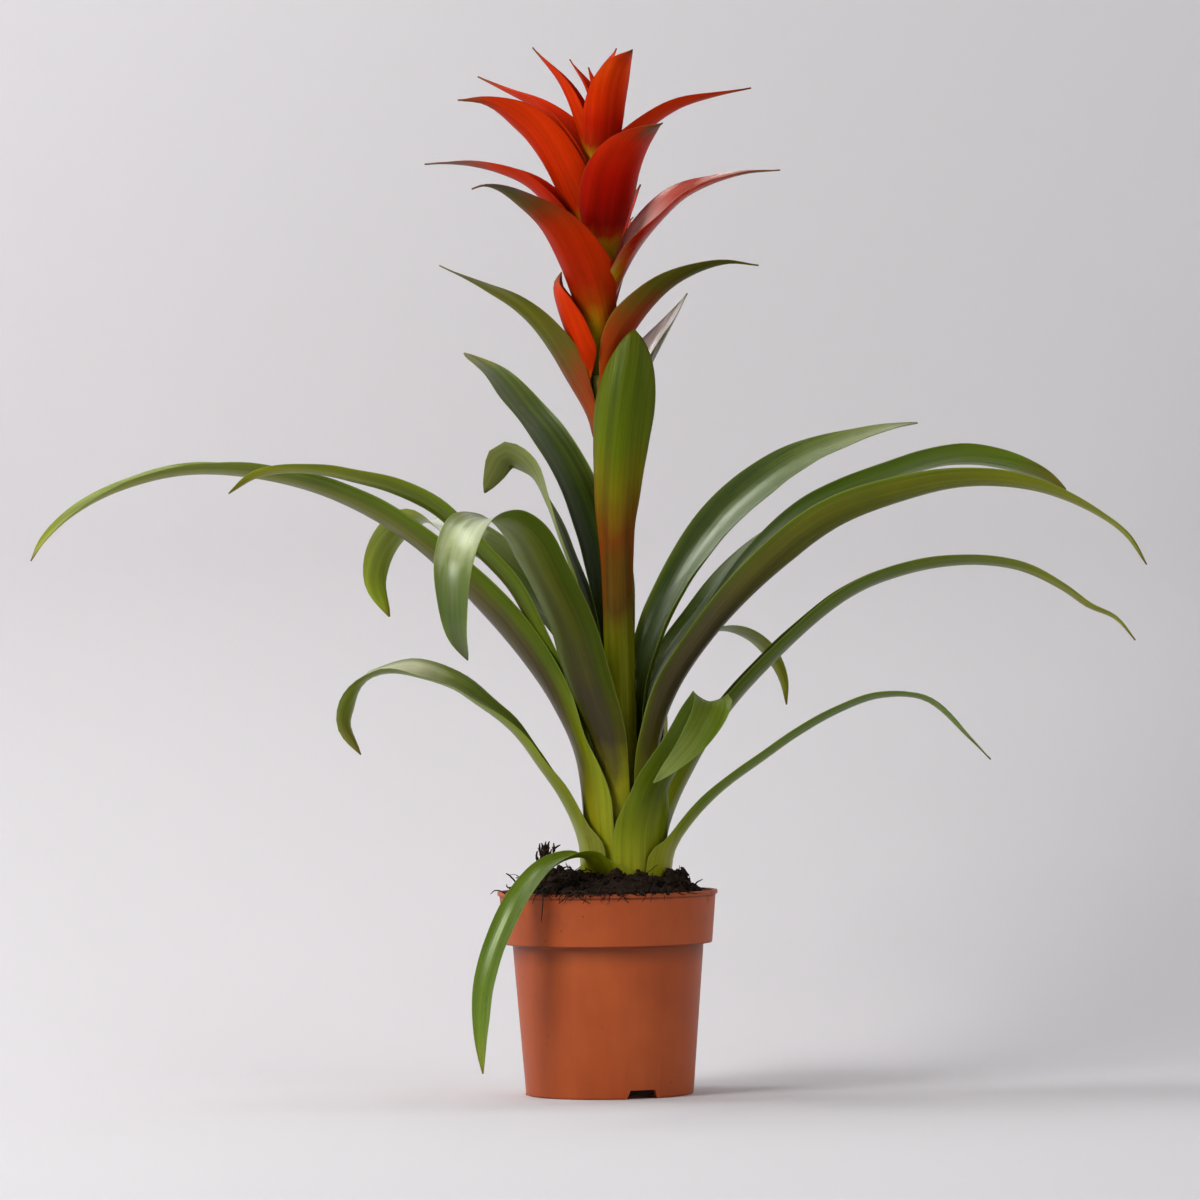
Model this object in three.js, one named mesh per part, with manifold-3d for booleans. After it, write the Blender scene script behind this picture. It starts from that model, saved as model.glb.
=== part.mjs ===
// Potted guzmania: a nursery pot, peat, and a bromeliad rosette round one leaning flower spike.
// Millimetres, +Z up. The origin is the centre of the pot's base, and the front of the plant is -Y.

import * as THREE from 'three';
import { mergeVertices } from 'three/addons/utils/BufferGeometryUtils.js';
import Module from 'manifold-3d';

const wasm = await Module();
wasm.setup();

// Clearance between neighbouring pieces
const GAP = 0.35;

// Nursery pot, 13 cm across the lip
const POT = {
  height: 120,
  lipRadius: 65,
  lipHeight: 2.4,
  collarTop: 63.9,
  collarBottom: 61.5,
  collarStep: 89,
  bodyTop: 56.4,
  bodyBottom: 49.4,
  footRound: 1.5,
  wall: 1.4,
  floor: 1.6,
  sides: 60,
};

// Three drainage notches in the foot, each closed inside by a raised pocket with a drain slot
const NOTCH = {
  count: 3,
  firstAzimuth: 293,
  widthBottom: 19.6,
  widthTop: 15.6,
  height: 5.2,
  depth: 11,
  roof: 1.4,
};
// Pockets reach almost to the foot's outer skin and are kept below a ceiling
const POCKET_INSET = 0.2;
const POCKET_CEILING = 20;
const SLOT = { length: 8, width: 2.6, height: 4, fromPocketEnd: 1 };
// How far cutting solids run past what they cut
const OVERCUT = { low: 5, side: 1, out: 10 };

// Peat, heaped a little round the plant
const SOIL = {
  edgeHeight: 112,
  crown: [[60.4, 114.5], [55, 119], [49, 123.5], [43, 127], [37, 129.5], [31, 130]],
  flatRadius: 16,
  flatHeight: 129,
  lump: 1.5,
  sides: 40,
};
// Round hole in the peat for the short stem and the leaf bases
const SOIL_HOLE = { topRadius: 33, sides: 30, depth: 24, rim: 1.3 };

// The plant stands a little to the right of the pot's centre, its spike leaning to and fro
const PLANT_X = 11;
const SCAPE_AXIS = [
  [11, 124], [12, 209], [8, 292], [2, 363], [-1, 428], [1, 493], [0, 528], [2, 569], [5, 604],
];

// Short stem that the leaves grow from, a cone of two to one under them
const CAUDEX = { foot: 116, footRadius: 26, shoulder: 118.4, radius: 28, slope: 2 };
// The scape starts straight above the cone and thins through the flower head
const SCAPE = { radius: 4.6, tipRadius: 2.2, straightTo: 20, thinsFrom: 478, top: 602, sides: 20, steps: 14 };

// Leaf bases stand in layers, each one inside the last
const LAYER_STEP = 1.9;
const LEAF_THICKNESS = { mid: 0.95, edge: 0.65 };
// Where a sheath turns into its blade, in shares of the neck's place along the spine
const NECK = { from: 0.75, span: 0.9 };
const TIP_WIDTH = 2;
const TAPER_FROM = 0.5;
// Widest half angle that a blade curls to
const MAX_CLASP = 1.9;

// Bracts start on the scape, broad in the lower half and channelled
const BRACT = { rootGap: 1.3, rootShare: 0.5, widest: 0.36, cup: [1.3, 1.15, 0.6], finePoint: [1.25, 1.15] };

const LEAF_MESH = { columns: 6, rings: 14 };
const BRACT_MESH = { columns: 5, rings: 10 };
const ROUGHNESS = { pot: 0.55, soil: 0.95, stem: 0.6, leaf: 0.35, bract: 0.4 };
// Leaves in the outermost layers are the darker ones
const DARK_LAYERS = 3;
const UPRIGHT = [0, 0];

const COLOUR = {
  pot: 0xb5653a,
  soil: 0x2b2019,
  stem: 0x6f7434,
  leaf: 0x3f6a26,
  darkLeaf: 0x2f5524,
  green: 0x7c8a35,
  red: 0xc23a1e,
  orange: 0xd9662b,
};

// Leaves of the rosette, from the outermost layer to the innermost.
// A spine point is [reach from the plant's axis, height, sideways shift].
// Wrap is the half angle, in degrees, that a leaf's sheath clasps.
// TaperFrom is the place along the spine where the blade starts to narrow.
// Cup is the half angle of the channel, in radians, and roll the turn about the midrib, in degrees,
// both from base to tip.
const LEAVES = [
  {
    name: 'leaf_front_drooping', azimuth: 236, layer: 0, width: 18, wrap: 46,
    cup: [0.9, 0.7, 0.5],
    spine: [
      [29, 131], [37, 139], [50, 141, -3], [68, 135, -10], [84, 118, -18], [95, 94, -25], [101, 68, -31],
      [101, 44, -34], [99, 17, -35],
    ],
  },
  {
    name: 'leaf_back_low', azimuth: 84, layer: 0, width: 26, wrap: 58,
    cup: [1.0, 0.7, 0.5],
    spine: [[29, 136], [40, 160], [66, 194], [106, 218], [150, 224], [190, 206], [212, 176]],
  },
  {
    name: 'leaf_right_lowest', azimuth: 350, layer: 1, width: 24, wrap: 55,
    cup: [0.9, 0.6, 0.5],
    spine: [
      [29, 143], [41, 161], [58, 178], [83, 196], [105, 211], [129, 224], [153, 232], [179, 230],
      [204, 208], [217, 195],
    ],
  },
  {
    name: 'leaf_left_lowest', azimuth: 187, layer: 1, width: 28, wrap: 58,
    cup: [1.0, 0.8, 0.5],
    spine: [
      [28, 150], [38, 174], [50, 192], [67, 215], [85, 230], [102, 242], [129, 250], [150, 247],
      [161, 234], [165, 220], [156, 202],
    ],
  },
  {
    name: 'leaf_front_folded', azimuth: 300, layer: 2, width: 28, wrap: 48,
    cup: [1.1, 0.8, 0.5],
    spine: [
      [26, 158], [36, 179], [54, 194], [74, 209], [90, 224], [99, 231], [106, 226, -6], [108, 210, -18],
      [103, 185, -41],
    ],
  },
  {
    name: 'leaf_back_middle', azimuth: 98, layer: 2, width: 32, wrap: 46,
    cup: [1.0, 0.7, 0.5],
    spine: [[27, 166], [40, 204], [64, 246], [98, 274], [140, 284], [180, 272], [208, 242]],
  },
  {
    name: 'leaf_left_long', azimuth: 178, layer: 3, width: 44, wrap: 80, sheathEnd: 0.74,
    cup: [1.3, 1.1, 0.6], roll: [0, 5, 25, 10, 0],
    spine: [
      [28.5, 198], [41, 228], [62, 261], [92, 296], [128, 329], [170, 353], [214, 366], [258, 369],
      [298, 360], [326, 346], [343, 331], [351, 319],
    ],
  },
  {
    name: 'leaf_right_middle', azimuth: 2, layer: 3, width: 38, wrap: 52,
    cup: [1.1, 0.8, 0.5],
    spine: [
      [25, 154, 2.2], [31.5, 172, 7], [40, 189, 7], [52, 210, 4], [72, 236, 1], [117, 279], [141, 295],
      [165, 304], [189, 309], [213, 310], [237, 306], [260, 295], [276, 284], [292, 277], [304, 264],
    ],
  },
  {
    name: 'leaf_left_upper', azimuth: 187, layer: 4, width: 34, wrap: 42,
    cup: [0.6, 0.9, 0.8, 0.6],
    spine: [
      [23, 190, -4], [33, 228, -10], [51, 268, -6], [67, 297, -1], [88, 319], [111, 341], [135, 353],
      [159, 361], [177, 367], [200, 369], [217, 366], [232, 356],
    ],
  },
  {
    name: 'leaf_right_back_low', azimuth: 50, layer: 4, width: 22, wrap: 50,
    cup: [1.0, 0.7, 0.5],
    spine: [[22.5, 204], [35, 242], [58, 264], [86, 273], [113, 271], [138, 260], [152, 244], [156, 228]],
  },
  {
    name: 'leaf_right_big', azimuth: 347, layer: 5, width: 37, taperFrom: 0.6, wrap: 58,
    cup: [1.3, 1.1, 0.6], roll: [0, -5, -25, -10, 0],
    spine: [
      [20, 204], [31, 236], [58, 274], [92, 308], [128, 334], [168, 348], [206, 355], [244, 352],
      [276, 340], [298, 325], [311, 307],
    ],
  },
  {
    name: 'leaf_left_back', azimuth: 155, layer: 5, width: 34, taperFrom: 0.7, wrap: 36,
    cup: [1.0, 0.7, 0.5],
    spine: [[22, 224], [38, 268], [78, 314], [115, 336], [138, 341], [157, 327], [164, 306], [155, 284]],
  },
  {
    name: 'leaf_front_arching', azimuth: 243, layer: 6, width: 34, taperFrom: 0.65, wrap: 38,
    cup: [0.8, 0.7, 0.5],
    spine: [
      [22, 206], [33, 238, -7.5], [52, 274, -9.5], [86, 304, -7.5], [124, 327, -2], [158, 335], [187, 331],
      [205, 312], [209, 290], [206, 270], [193, 256],
    ],
  },
  {
    name: 'leaf_right_back', azimuth: 20, layer: 6, width: 36, taperFrom: 0.62, wrap: 54,
    cup: [1.1, 0.8, 0.5], roll: [0, 0, -25, -25],
    spine: [
      [18, 226], [28, 252], [50, 280], [69, 304], [91, 325], [115, 341], [141, 352], [167, 361],
      [193, 370], [219, 375], [246, 373], [272, 366], [289, 357],
    ],
  },
  {
    name: 'leaf_left_inner', azimuth: 158, layer: 7, width: 26, taperFrom: 0.78, wrap: 40,
    cup: [1.1, 0.8, 0.5, 0.4], roll: [0, 0, 10, 60],
    spine: [
      [15.5, 238], [20, 265], [28, 298], [38, 325], [48, 350], [59, 370], [74, 378], [82, 367], [88, 357],
    ],
  },
  {
    name: 'leaf_back_tall', azimuth: 95, layer: 7, width: 24, wrap: 22,
    cup: [1.0, 0.7, 0.5],
    spine: [[17.3, 244], [28.5, 274], [50, 308], [78, 336], [112, 354], [150, 361], [186, 354], [212, 332]],
  },
  {
    name: 'leaf_right_upper', azimuth: 30, layer: 8, width: 38, wrap: 60,
    cup: [1.1, 0.8, 0.5], roll: [0, 0, 20, 10],
    spine: [
      [14, 236], [23, 266], [42, 301], [70, 336], [100, 360], [128, 376], [156, 386], [187, 395],
      [210, 399],
    ],
  },
  {
    name: 'leaf_back_upright', azimuth: 125, layer: 9, width: 32, taperFrom: 0.72, wrap: 44,
    cup: [1.0, 0.7, 0.5],
    spine: [[13, 264], [18, 292], [31, 328], [52, 363], [78, 390], [104, 410], [134, 432], [166, 447]],
  },
];

// Long bract that clasps the scape from the rosette to the flower head
const FRONT_BRACT = {
  name: 'scape_bract_front', azimuth: 268, layer: 10, width: 45, taperFrom: 0.78, wrap: 72,
  cup: [1.3, 0.9, 0.6],
  spine: [[10.3, 318, -3], [14, 348, -2.5], [19, 383, 0.5], [22, 413, 4.5], [22, 434, 8], [20, 450, 9.5]],
};

// Bracts that grow from the scape, from the lowest up. Root is the height of a bract's base.
// Reach is from the scape at the root, and rootShare the part of its width that a bract has there.
// Cup and roll are as for the leaves. The larger the first number of point, the later a bract narrows.
const HEAD_BRACTS = [
  {
    name: 'scape_bract_back', azimuth: 88, root: 250, width: 20,
    tone: 'green',
    spine: [[8, 278, 1.3], [9, 328, 4.8], [12, 370, 8.3], [17, 398, 9.6], [22, 416, 10.4]],
  },
  {
    name: 'bract_01_left', azimuth: 185, root: 388, width: 38,
    roll: [0, 20, 20, 0], tone: 'green',
    spine: [[9, 400], [19, 420], [28, 437], [41, 455], [53, 466], [66, 474], [80, 482], [96, 490]],
  },
  {
    name: 'bract_02_right_back', azimuth: 35, root: 395, width: 40,
    tone: 'orange',
    spine: [[12, 405], [29, 426], [43, 446], [54, 462], [63, 475]],
  },
  {
    name: 'bract_03_back', azimuth: 97, root: 402, width: 30,
    tone: 'orange',
    spine: [[9, 414], [22, 435], [40, 456], [60, 470], [82, 478]],
  },
  {
    name: 'bract_04_right', azimuth: 342, root: 410, width: 43,
    tone: 'orange',
    spine: [[9, 422], [15, 441], [27, 459], [44, 475], [62, 484], [80, 488], [98, 486]],
  },
  {
    name: 'bract_05_left_back', azimuth: 160, root: 412, width: 26,
    tone: 'orange',
    spine: [[9, 425], [17, 443], [24, 460], [29, 477], [31, 493]],
  },
  {
    name: 'bract_06_left_front', azimuth: 222, root: 424, width: 53,
    tone: 'red',
    spine: [[8.5, 438], [13.5, 463], [23, 487], [38, 508], [57, 521], [76, 530], [89, 532], [98, 529.5]],
  },
  {
    name: 'bract_07_back', azimuth: 74, root: 444, width: 32,
    tone: 'orange',
    spine: [[9, 456], [18, 478], [34, 500], [54, 516], [76, 524]],
  },
  {
    name: 'bract_08_right', azimuth: 340, root: 456, width: 41,
    cup: [1.3, 0.85, 0.5], roll: [0, 13, 34, 18], tone: 'red',
    spine: [[9, 469], [18, 488], [32, 508], [51, 526], [71, 535], [92, 540], [113, 541]],
  },
  {
    name: 'bract_09_back_left', azimuth: 131, root: 466, width: 26,
    tone: 'orange',
    spine: [[9, 478], [18, 498], [33, 520], [54, 538], [78, 548]],
  },
  {
    name: 'bract_10_right_back', azimuth: 60, root: 474, width: 24,
    tone: 'orange',
    spine: [[9, 486], [18, 503], [29, 518], [40, 531], [49, 541]],
  },
  {
    name: 'bract_11_left', azimuth: 162, root: 482, width: 36,
    tone: 'orange',
    spine: [[9, 494], [18, 508], [28, 521], [45, 538], [63, 547], [81, 552], [98, 554], [110, 554]],
  },
  {
    name: 'bract_12_front', azimuth: 288, root: 488, width: 45,
    rootShare: 0.55, cup: [1.0, 0.9, 0.5], point: [1.5, 1], tone: 'red',
    spine: [[11, 500], [18, 518, 0.5], [24, 539, 2.5], [35, 554, 7], [52, 563, 12], [69, 567, 16]],
  },
  {
    name: 'bract_13_left', azimuth: 177, root: 500, width: 44,
    rootShare: 0.35, cup: [1.3, 1.15, 0.6], roll: [0, 32, 38, 0], point: [1.6, 0.95], tone: 'orange',
    spine: [
      [9, 508], [14.5, 518], [21, 530], [28, 546], [35, 559], [44, 571], [56, 580.5], [69, 587], [84, 589],
    ],
  },
  {
    name: 'bract_14_back', azimuth: 66, root: 518, width: 22,
    tone: 'red',
    spine: [[8, 529], [17, 546], [30, 559], [46, 567], [62, 571]],
  },
  {
    name: 'bract_15_right', azimuth: 8, root: 524, width: 38,
    tone: 'orange',
    spine: [[8.5, 536], [16, 555], [31, 571], [49, 583], [70, 590], [92, 595]],
  },
  {
    name: 'bract_16_left_back', azimuth: 150, root: 532, width: 35,
    tone: 'orange',
    spine: [[8, 544], [18, 560], [30, 574], [44, 586], [62, 596], [83, 607]],
  },
  {
    name: 'bract_17_front', azimuth: 300, root: 540, width: 37,
    rootShare: 0.4, cup: [1.1, 0.8, 0.5], point: [1.8, 0.95], tone: 'red',
    spine: [[10, 551], [14.5, 573, -0.5], [18.5, 594, 0], [27, 607, 0.5], [40, 613]],
  },
  {
    name: 'bract_18_left', azimuth: 170, root: 550, width: 31,
    rootShare: 0.35, cup: [1.3, 1.15, 0.6], point: [1.6, 1], tone: 'orange',
    spine: [[9, 557], [12.5, 568], [15.5, 578], [19, 588], [25.5, 601], [40, 620]],
  },
  {
    name: 'bract_19_top_back', azimuth: 60, root: 558, width: 28,
    tone: 'red',
    spine: [[6.8, 569], [9, 588, 2], [13, 606, 2], [20, 620]],
  },
  {
    name: 'bract_20_top_left', azimuth: 150, root: 566, width: 16,
    tone: 'red',
    spine: [[5.2, 576], [9, 594], [21, 613]],
  },
  {
    name: 'bract_21_top_front', azimuth: 228, root: 572, width: 12,
    tone: 'red',
    spine: [[4.8, 581], [6.5, 594], [11, 606]],
  },
];

const GROUP = new THREE.Group();

// Smooth step from 0 to 1
function smooth(t) {
  const x = Math.min(1, Math.max(0, t));
  return x * x * (3 - 2 * x);
}

// Value at s of keys spread evenly from 0 to 1
function keyed(keys, s) {
  const place = Math.min(1, Math.max(0, s)) * (keys.length - 1);
  const index = Math.min(keys.length - 2, Math.floor(place));
  return keys[index] + (keys[index + 1] - keys[index]) * smooth(place - index);
}

// Place of the scape's axis at a height
function scapeX(height) {
  const last = SCAPE_AXIS.length - 1;
  if (height >= SCAPE_AXIS[last][1]) return SCAPE_AXIS[last][0];
  const next = Math.max(1, SCAPE_AXIS.findIndex((point) => point[1] >= height));
  const [x0, z0] = SCAPE_AXIS[next - 1];
  const [x1, z1] = SCAPE_AXIS[next];
  return x0 + (x1 - x0) * Math.max(0, (height - z0) / (z1 - z0));
}

// Radius of the scape at a height: even, then thinning through the flower head
function scapeRadius(height) {
  const thinning = smooth((height - SCAPE.thinsFrom) / (SCAPE.top - SCAPE.thinsFrom));
  return SCAPE.radius + (SCAPE.tipRadius - SCAPE.radius) * thinning;
}

// Height of the caudex's slope at a distance from the axis
function caudexHeight(radius) {
  return CAUDEX.shoulder + CAUDEX.slope * (CAUDEX.radius - radius);
}

// Join vertices that share a place, so that a mesh is one closed skin
function weld(geometry) {
  const bare = geometry.clone();
  bare.deleteAttribute('normal');
  bare.deleteAttribute('uv');
  return mergeVertices(bare, 1e-4);
}

// Solid for cutting and joining
function toManifold(geometry) {
  const welded = weld(geometry);
  const vertProperties = new Float32Array(welded.attributes.position.array);
  const triVerts = new Uint32Array(welded.index.array);
  return new wasm.Manifold(new wasm.Mesh({ numProp: 3, vertProperties, triVerts }));
}

function toGeometry(manifold) {
  const mesh = manifold.getMesh();
  const geometry = new THREE.BufferGeometry();
  geometry.setAttribute('position', new THREE.BufferAttribute(new Float32Array(mesh.vertProperties), 3));
  geometry.setIndex(new THREE.BufferAttribute(new Uint32Array(mesh.triVerts), 1));
  geometry.computeVertexNormals();
  return geometry;
}

function addPiece(name, geometry, colour, roughness) {
  const finish = { color: colour, roughness, metalness: 0, flatShading: true };
  const material = new THREE.MeshStandardMaterial(finish);
  const mesh = new THREE.Mesh(geometry, material);
  mesh.name = name;
  GROUP.add(mesh);
}

// Closed skin through rings that all have the same number of points, with a fan over each end
function skinOverRings(rings) {
  const count = rings[0].length;
  const positions = [];
  const faces = [];
  rings.flat().forEach((point) => positions.push(point.x, point.y, point.z));
  for (let ring = 0; ring + 1 < rings.length; ring += 1) {
    for (let side = 0; side < count; side += 1) {
      const a = ring * count + side;
      const b = ring * count + ((side + 1) % count);
      faces.push(a, b, b + count, a, b + count, a + count);
    }
  }
  const top = (rings.length - 1) * count;
  for (let side = 1; side + 1 < count; side += 1) {
    faces.push(0, side + 1, side);
    faces.push(top, top + side, top + side + 1);
  }
  const geometry = new THREE.BufferGeometry();
  geometry.setAttribute('position', new THREE.Float32BufferAttribute(positions, 3));
  geometry.setIndex(faces);
  geometry.computeVertexNormals();
  return geometry;
}

// Lathe profile turned to stand along +Z
function turned(profile, sides) {
  const points = profile.map(([radius, height]) => new THREE.Vector2(radius, height));
  const geometry = new THREE.LatheGeometry(points, sides);
  geometry.rotateX(Math.PI / 2);
  return geometry;
}

// Inner radius of the pot's lower body at a height
function potInside(height) {
  const slope = (POT.bodyTop - POT.bodyBottom) / POT.collarStep;
  return POT.bodyBottom - POT.wall + slope * height;
}

// Inner radius of the pot's collar at a height
function collarInside(height) {
  const slope = (POT.collarTop - POT.collarBottom) / (POT.height - POT.collarStep);
  return POT.collarBottom - POT.wall + slope * (height - POT.collarStep);
}

// Prism of a drainage notch, grown by a margin, at the foot of the pot
function notchPrism(azimuth, margin, inset) {
  const low = NOTCH.widthBottom / 2 + margin;
  const high = NOTCH.widthTop / 2 + margin;
  const outline = new THREE.Shape();
  outline.moveTo(-low - OVERCUT.side, -OVERCUT.low);
  outline.lineTo(low + OVERCUT.side, -OVERCUT.low);
  outline.lineTo(low, 0);
  outline.lineTo(high, NOTCH.height + margin);
  outline.lineTo(-high, NOTCH.height + margin);
  outline.lineTo(-low, 0);
  const depth = NOTCH.depth + margin - inset;
  const prism = new THREE.ExtrudeGeometry(outline, { depth, bevelEnabled: false });
  prism.rotateX(Math.PI / 2);
  prism.translate(0, -(POT.bodyBottom - NOTCH.depth - margin), 0);
  prism.rotateZ(THREE.MathUtils.degToRad(azimuth - 270));
  return toManifold(prism);
}

function notchAzimuths() {
  return Array.from({ length: NOTCH.count }, (_, index) => NOTCH.firstAzimuth + (index * 360) / NOTCH.count);
}

function makePot() {
  const shelf = POT.collarStep + POT.wall;
  const lipBottom = POT.height - POT.lipHeight;
  const profile = [
    [0, 0],
    [POT.bodyBottom - POT.footRound, 0],
    [POT.bodyBottom, POT.footRound],
    [POT.bodyTop, POT.collarStep],
    [POT.collarBottom, POT.collarStep],
    [POT.collarTop, lipBottom],
    [POT.lipRadius, lipBottom + 0.3],
    [POT.lipRadius, POT.height - 0.4],
    [POT.lipRadius - 0.4, POT.height],
    [collarInside(POT.height), POT.height],
    [collarInside(shelf), shelf],
    [potInside(shelf), shelf],
    [potInside(POT.floor), POT.floor],
    [0, POT.floor],
  ];
  let pot = toManifold(turned(profile, POT.sides));
  const footSkin = POT.bodyBottom - POCKET_INSET;
  const pocketRoom = [
    [0, -OVERCUT.low],
    [footSkin, -OVERCUT.low],
    [footSkin, POT.footRound],
    [potInside(POCKET_CEILING), POCKET_CEILING],
    [0, POCKET_CEILING],
  ];
  const insideOfFoot = toManifold(turned(pocketRoom, POT.sides));
  const belowBase = new THREE.BoxGeometry(2 * POT.lipRadius, 2 * POT.lipRadius, 2 * OVERCUT.low);
  belowBase.translate(0, 0, -OVERCUT.low);
  const base = toManifold(belowBase);
  for (const azimuth of notchAzimuths()) {
    const pocket = notchPrism(azimuth, NOTCH.roof, 0).intersect(insideOfFoot).subtract(base);
    const slot = new THREE.BoxGeometry(SLOT.length, SLOT.width, SLOT.height);
    const slotRadius = POT.bodyBottom - NOTCH.depth / 2 - SLOT.fromPocketEnd;
    slot.translate(0, -slotRadius, NOTCH.height + NOTCH.roof / 2);
    slot.rotateZ(THREE.MathUtils.degToRad(azimuth - 270));
    pot = pot.add(pocket).subtract(notchPrism(azimuth, 0, -OVERCUT.out)).subtract(toManifold(slot));
  }
  addPiece('pot', toGeometry(pot), COLOUR.pot, ROUGHNESS.pot);
}

// Uneven peat surface, the same on every run
function lumpAt(x, y) {
  const coarse = Math.sin(x * 0.31 + 1.3) * Math.sin(y * 0.27 + 0.4);
  const fine = Math.sin(x * 0.83 + y * 0.41) * Math.cos(y * 0.77 - x * 0.29);
  return SOIL.lump * (0.6 * coarse + 0.5 * fine);
}

function makeSoil() {
  const shelf = POT.collarStep + POT.wall + GAP;
  const profile = [
    [0, POT.floor + GAP],
    [potInside(0) - GAP, POT.floor + GAP],
    [potInside(POT.collarStep) - GAP, POT.collarStep],
    [potInside(POT.collarStep) - GAP, shelf],
    [collarInside(shelf) - GAP, shelf],
    [collarInside(SOIL.edgeHeight) - GAP - 0.1, SOIL.edgeHeight],
    ...SOIL.crown,
    [SOIL.flatRadius, SOIL.flatHeight],
    [0, SOIL.flatHeight],
  ];
  const heap = turned(profile, SOIL.sides);
  const position = heap.attributes.position;
  for (let index = 0; index < position.count; index += 1) {
    const x = position.getX(index);
    const y = position.getY(index);
    const z = position.getZ(index);
    if (z > SOIL.edgeHeight + 1 && Math.hypot(x, y) > 1) position.setZ(index, z + lumpAt(x, y));
  }
  let soil = toManifold(heap);
  const holeFoot = CAUDEX.radius + SOIL_HOLE.rim;
  const hole = new THREE.CylinderGeometry(SOIL_HOLE.topRadius, holeFoot, SOIL_HOLE.depth, SOIL_HOLE.sides);
  hole.rotateX(Math.PI / 2);
  hole.translate(PLANT_X, 0, CAUDEX.foot - GAP + SOIL_HOLE.depth / 2);
  soil = soil.subtract(toManifold(hole));
  for (const azimuth of notchAzimuths()) {
    soil = soil.subtract(notchPrism(azimuth, NOTCH.roof + GAP, -OVERCUT.out));
  }
  addPiece('soil', toGeometry(soil), COLOUR.soil, ROUGHNESS.soil);
}

function ringAt(x, z, radius) {
  const ring = [];
  for (let side = 0; side < SCAPE.sides; side += 1) {
    const angle = (2 * Math.PI * side) / SCAPE.sides;
    ring.push(new THREE.Vector3(x + radius * Math.cos(angle), radius * Math.sin(angle), z));
  }
  return ring;
}

// Short stem under the leaves and the scape that carries the flower head, in one piece
function makeStem() {
  const rings = [
    ringAt(PLANT_X, CAUDEX.foot, CAUDEX.footRadius),
    ringAt(PLANT_X, CAUDEX.shoulder, CAUDEX.radius),
    ringAt(PLANT_X, caudexHeight(SCAPE.radius), SCAPE.radius),
  ];
  const foot = caudexHeight(SCAPE.radius) + SCAPE.straightTo;
  for (let step = 0; step <= SCAPE.steps; step += 1) {
    const z = foot + ((SCAPE.top - foot) * step) / SCAPE.steps;
    rings.push(ringAt(scapeX(z), z, scapeRadius(z)));
  }
  addPiece('stem', skinOverRings(rings), COLOUR.stem, ROUGHNESS.stem);
}

// Length of a spine, point to point
function spineLength(spine) {
  const steps = spine.slice(1).map(([reach, height], index) => {
    return Math.hypot(reach - spine[index][0], height - spine[index][1]);
  });
  return steps.reduce((sum, step) => sum + step, 0);
}

// From 0 in a blade's sheath to 1 where its blade is fully formed, past the neck
function pastNeck(s, neck) {
  return smooth((s - NECK.from * neck) / (NECK.span * neck));
}

// Half angle that a blade wraps: its own cup, or more where it clasps the axis
function claspAngle(width, reach, cup) {
  const clasp = width / (2 * Math.max(reach, 1));
  return Math.min(MAX_CLASP, Math.pow(Math.pow(clasp, 4) + Math.pow(cup, 4), 0.25));
}

// Strap of a leaf or bract along its spine: both faces, both margins, root and tip in one skin
function bladeGeometry(blade) {
  const around = THREE.MathUtils.degToRad(blade.azimuth);
  const outward = new THREE.Vector3(Math.cos(around), Math.sin(around), 0);
  const sideways = new THREE.Vector3(-Math.sin(around), Math.cos(around), 0);
  const points = blade.spine.map(([reach, height, shift = 0]) => {
    const point = new THREE.Vector3(blade.axisX, 0, height);
    return point.addScaledVector(outward, reach).addScaledVector(sideways, shift);
  });
  const curve = new THREE.CatmullRomCurve3(points, false, 'centripetal');
  const { columns, rings } = blade;
  const rows = [];
  for (let ring = 0; ring < rings; ring += 1) {
    const s = ring / (rings - 1);
    const centre = curve.getPointAt(s);
    const along = curve.getTangentAt(s);
    const side = sideways.clone().addScaledVector(along, -along.dot(sideways)).normalize();
    const inner = new THREE.Vector3().crossVectors(along, side);
    const roll = THREE.MathUtils.degToRad(keyed(blade.roll ?? UPRIGHT, s));
    const across = side.clone().multiplyScalar(Math.cos(roll)).addScaledVector(inner, Math.sin(roll));
    const up = inner.clone().multiplyScalar(Math.cos(roll)).addScaledVector(side, -Math.sin(roll));
    const width = blade.widthAt(s);
    const reach = centre.clone().setX(centre.x - blade.axisX).dot(outward);
    const angle = claspAngle(width, reach, keyed(blade.cup, s) * pastNeck(s, blade.neck));
    const radius = width / (2 * angle);
    const upper = [];
    const lower = [];
    for (let column = 0; column < columns; column += 1) {
      const u = (2 * column) / (columns - 1) - 1;
      const theta = u * angle;
      const middle = centre.clone();
      middle.addScaledVector(across, radius * Math.sin(theta));
      middle.addScaledVector(up, radius * (1 - Math.cos(theta)));
      const normal = up.clone().multiplyScalar(Math.cos(theta)).addScaledVector(across, -Math.sin(theta));
      const half = (LEAF_THICKNESS.mid + (LEAF_THICKNESS.edge - LEAF_THICKNESS.mid) * u * u) / 2;
      upper.push(middle.clone().addScaledVector(normal, half));
      lower.push(middle.clone().addScaledVector(normal, -half));
    }
    rows.push([upper, lower]);
  }
  return skinOverBlade(rows, columns);
}

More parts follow.
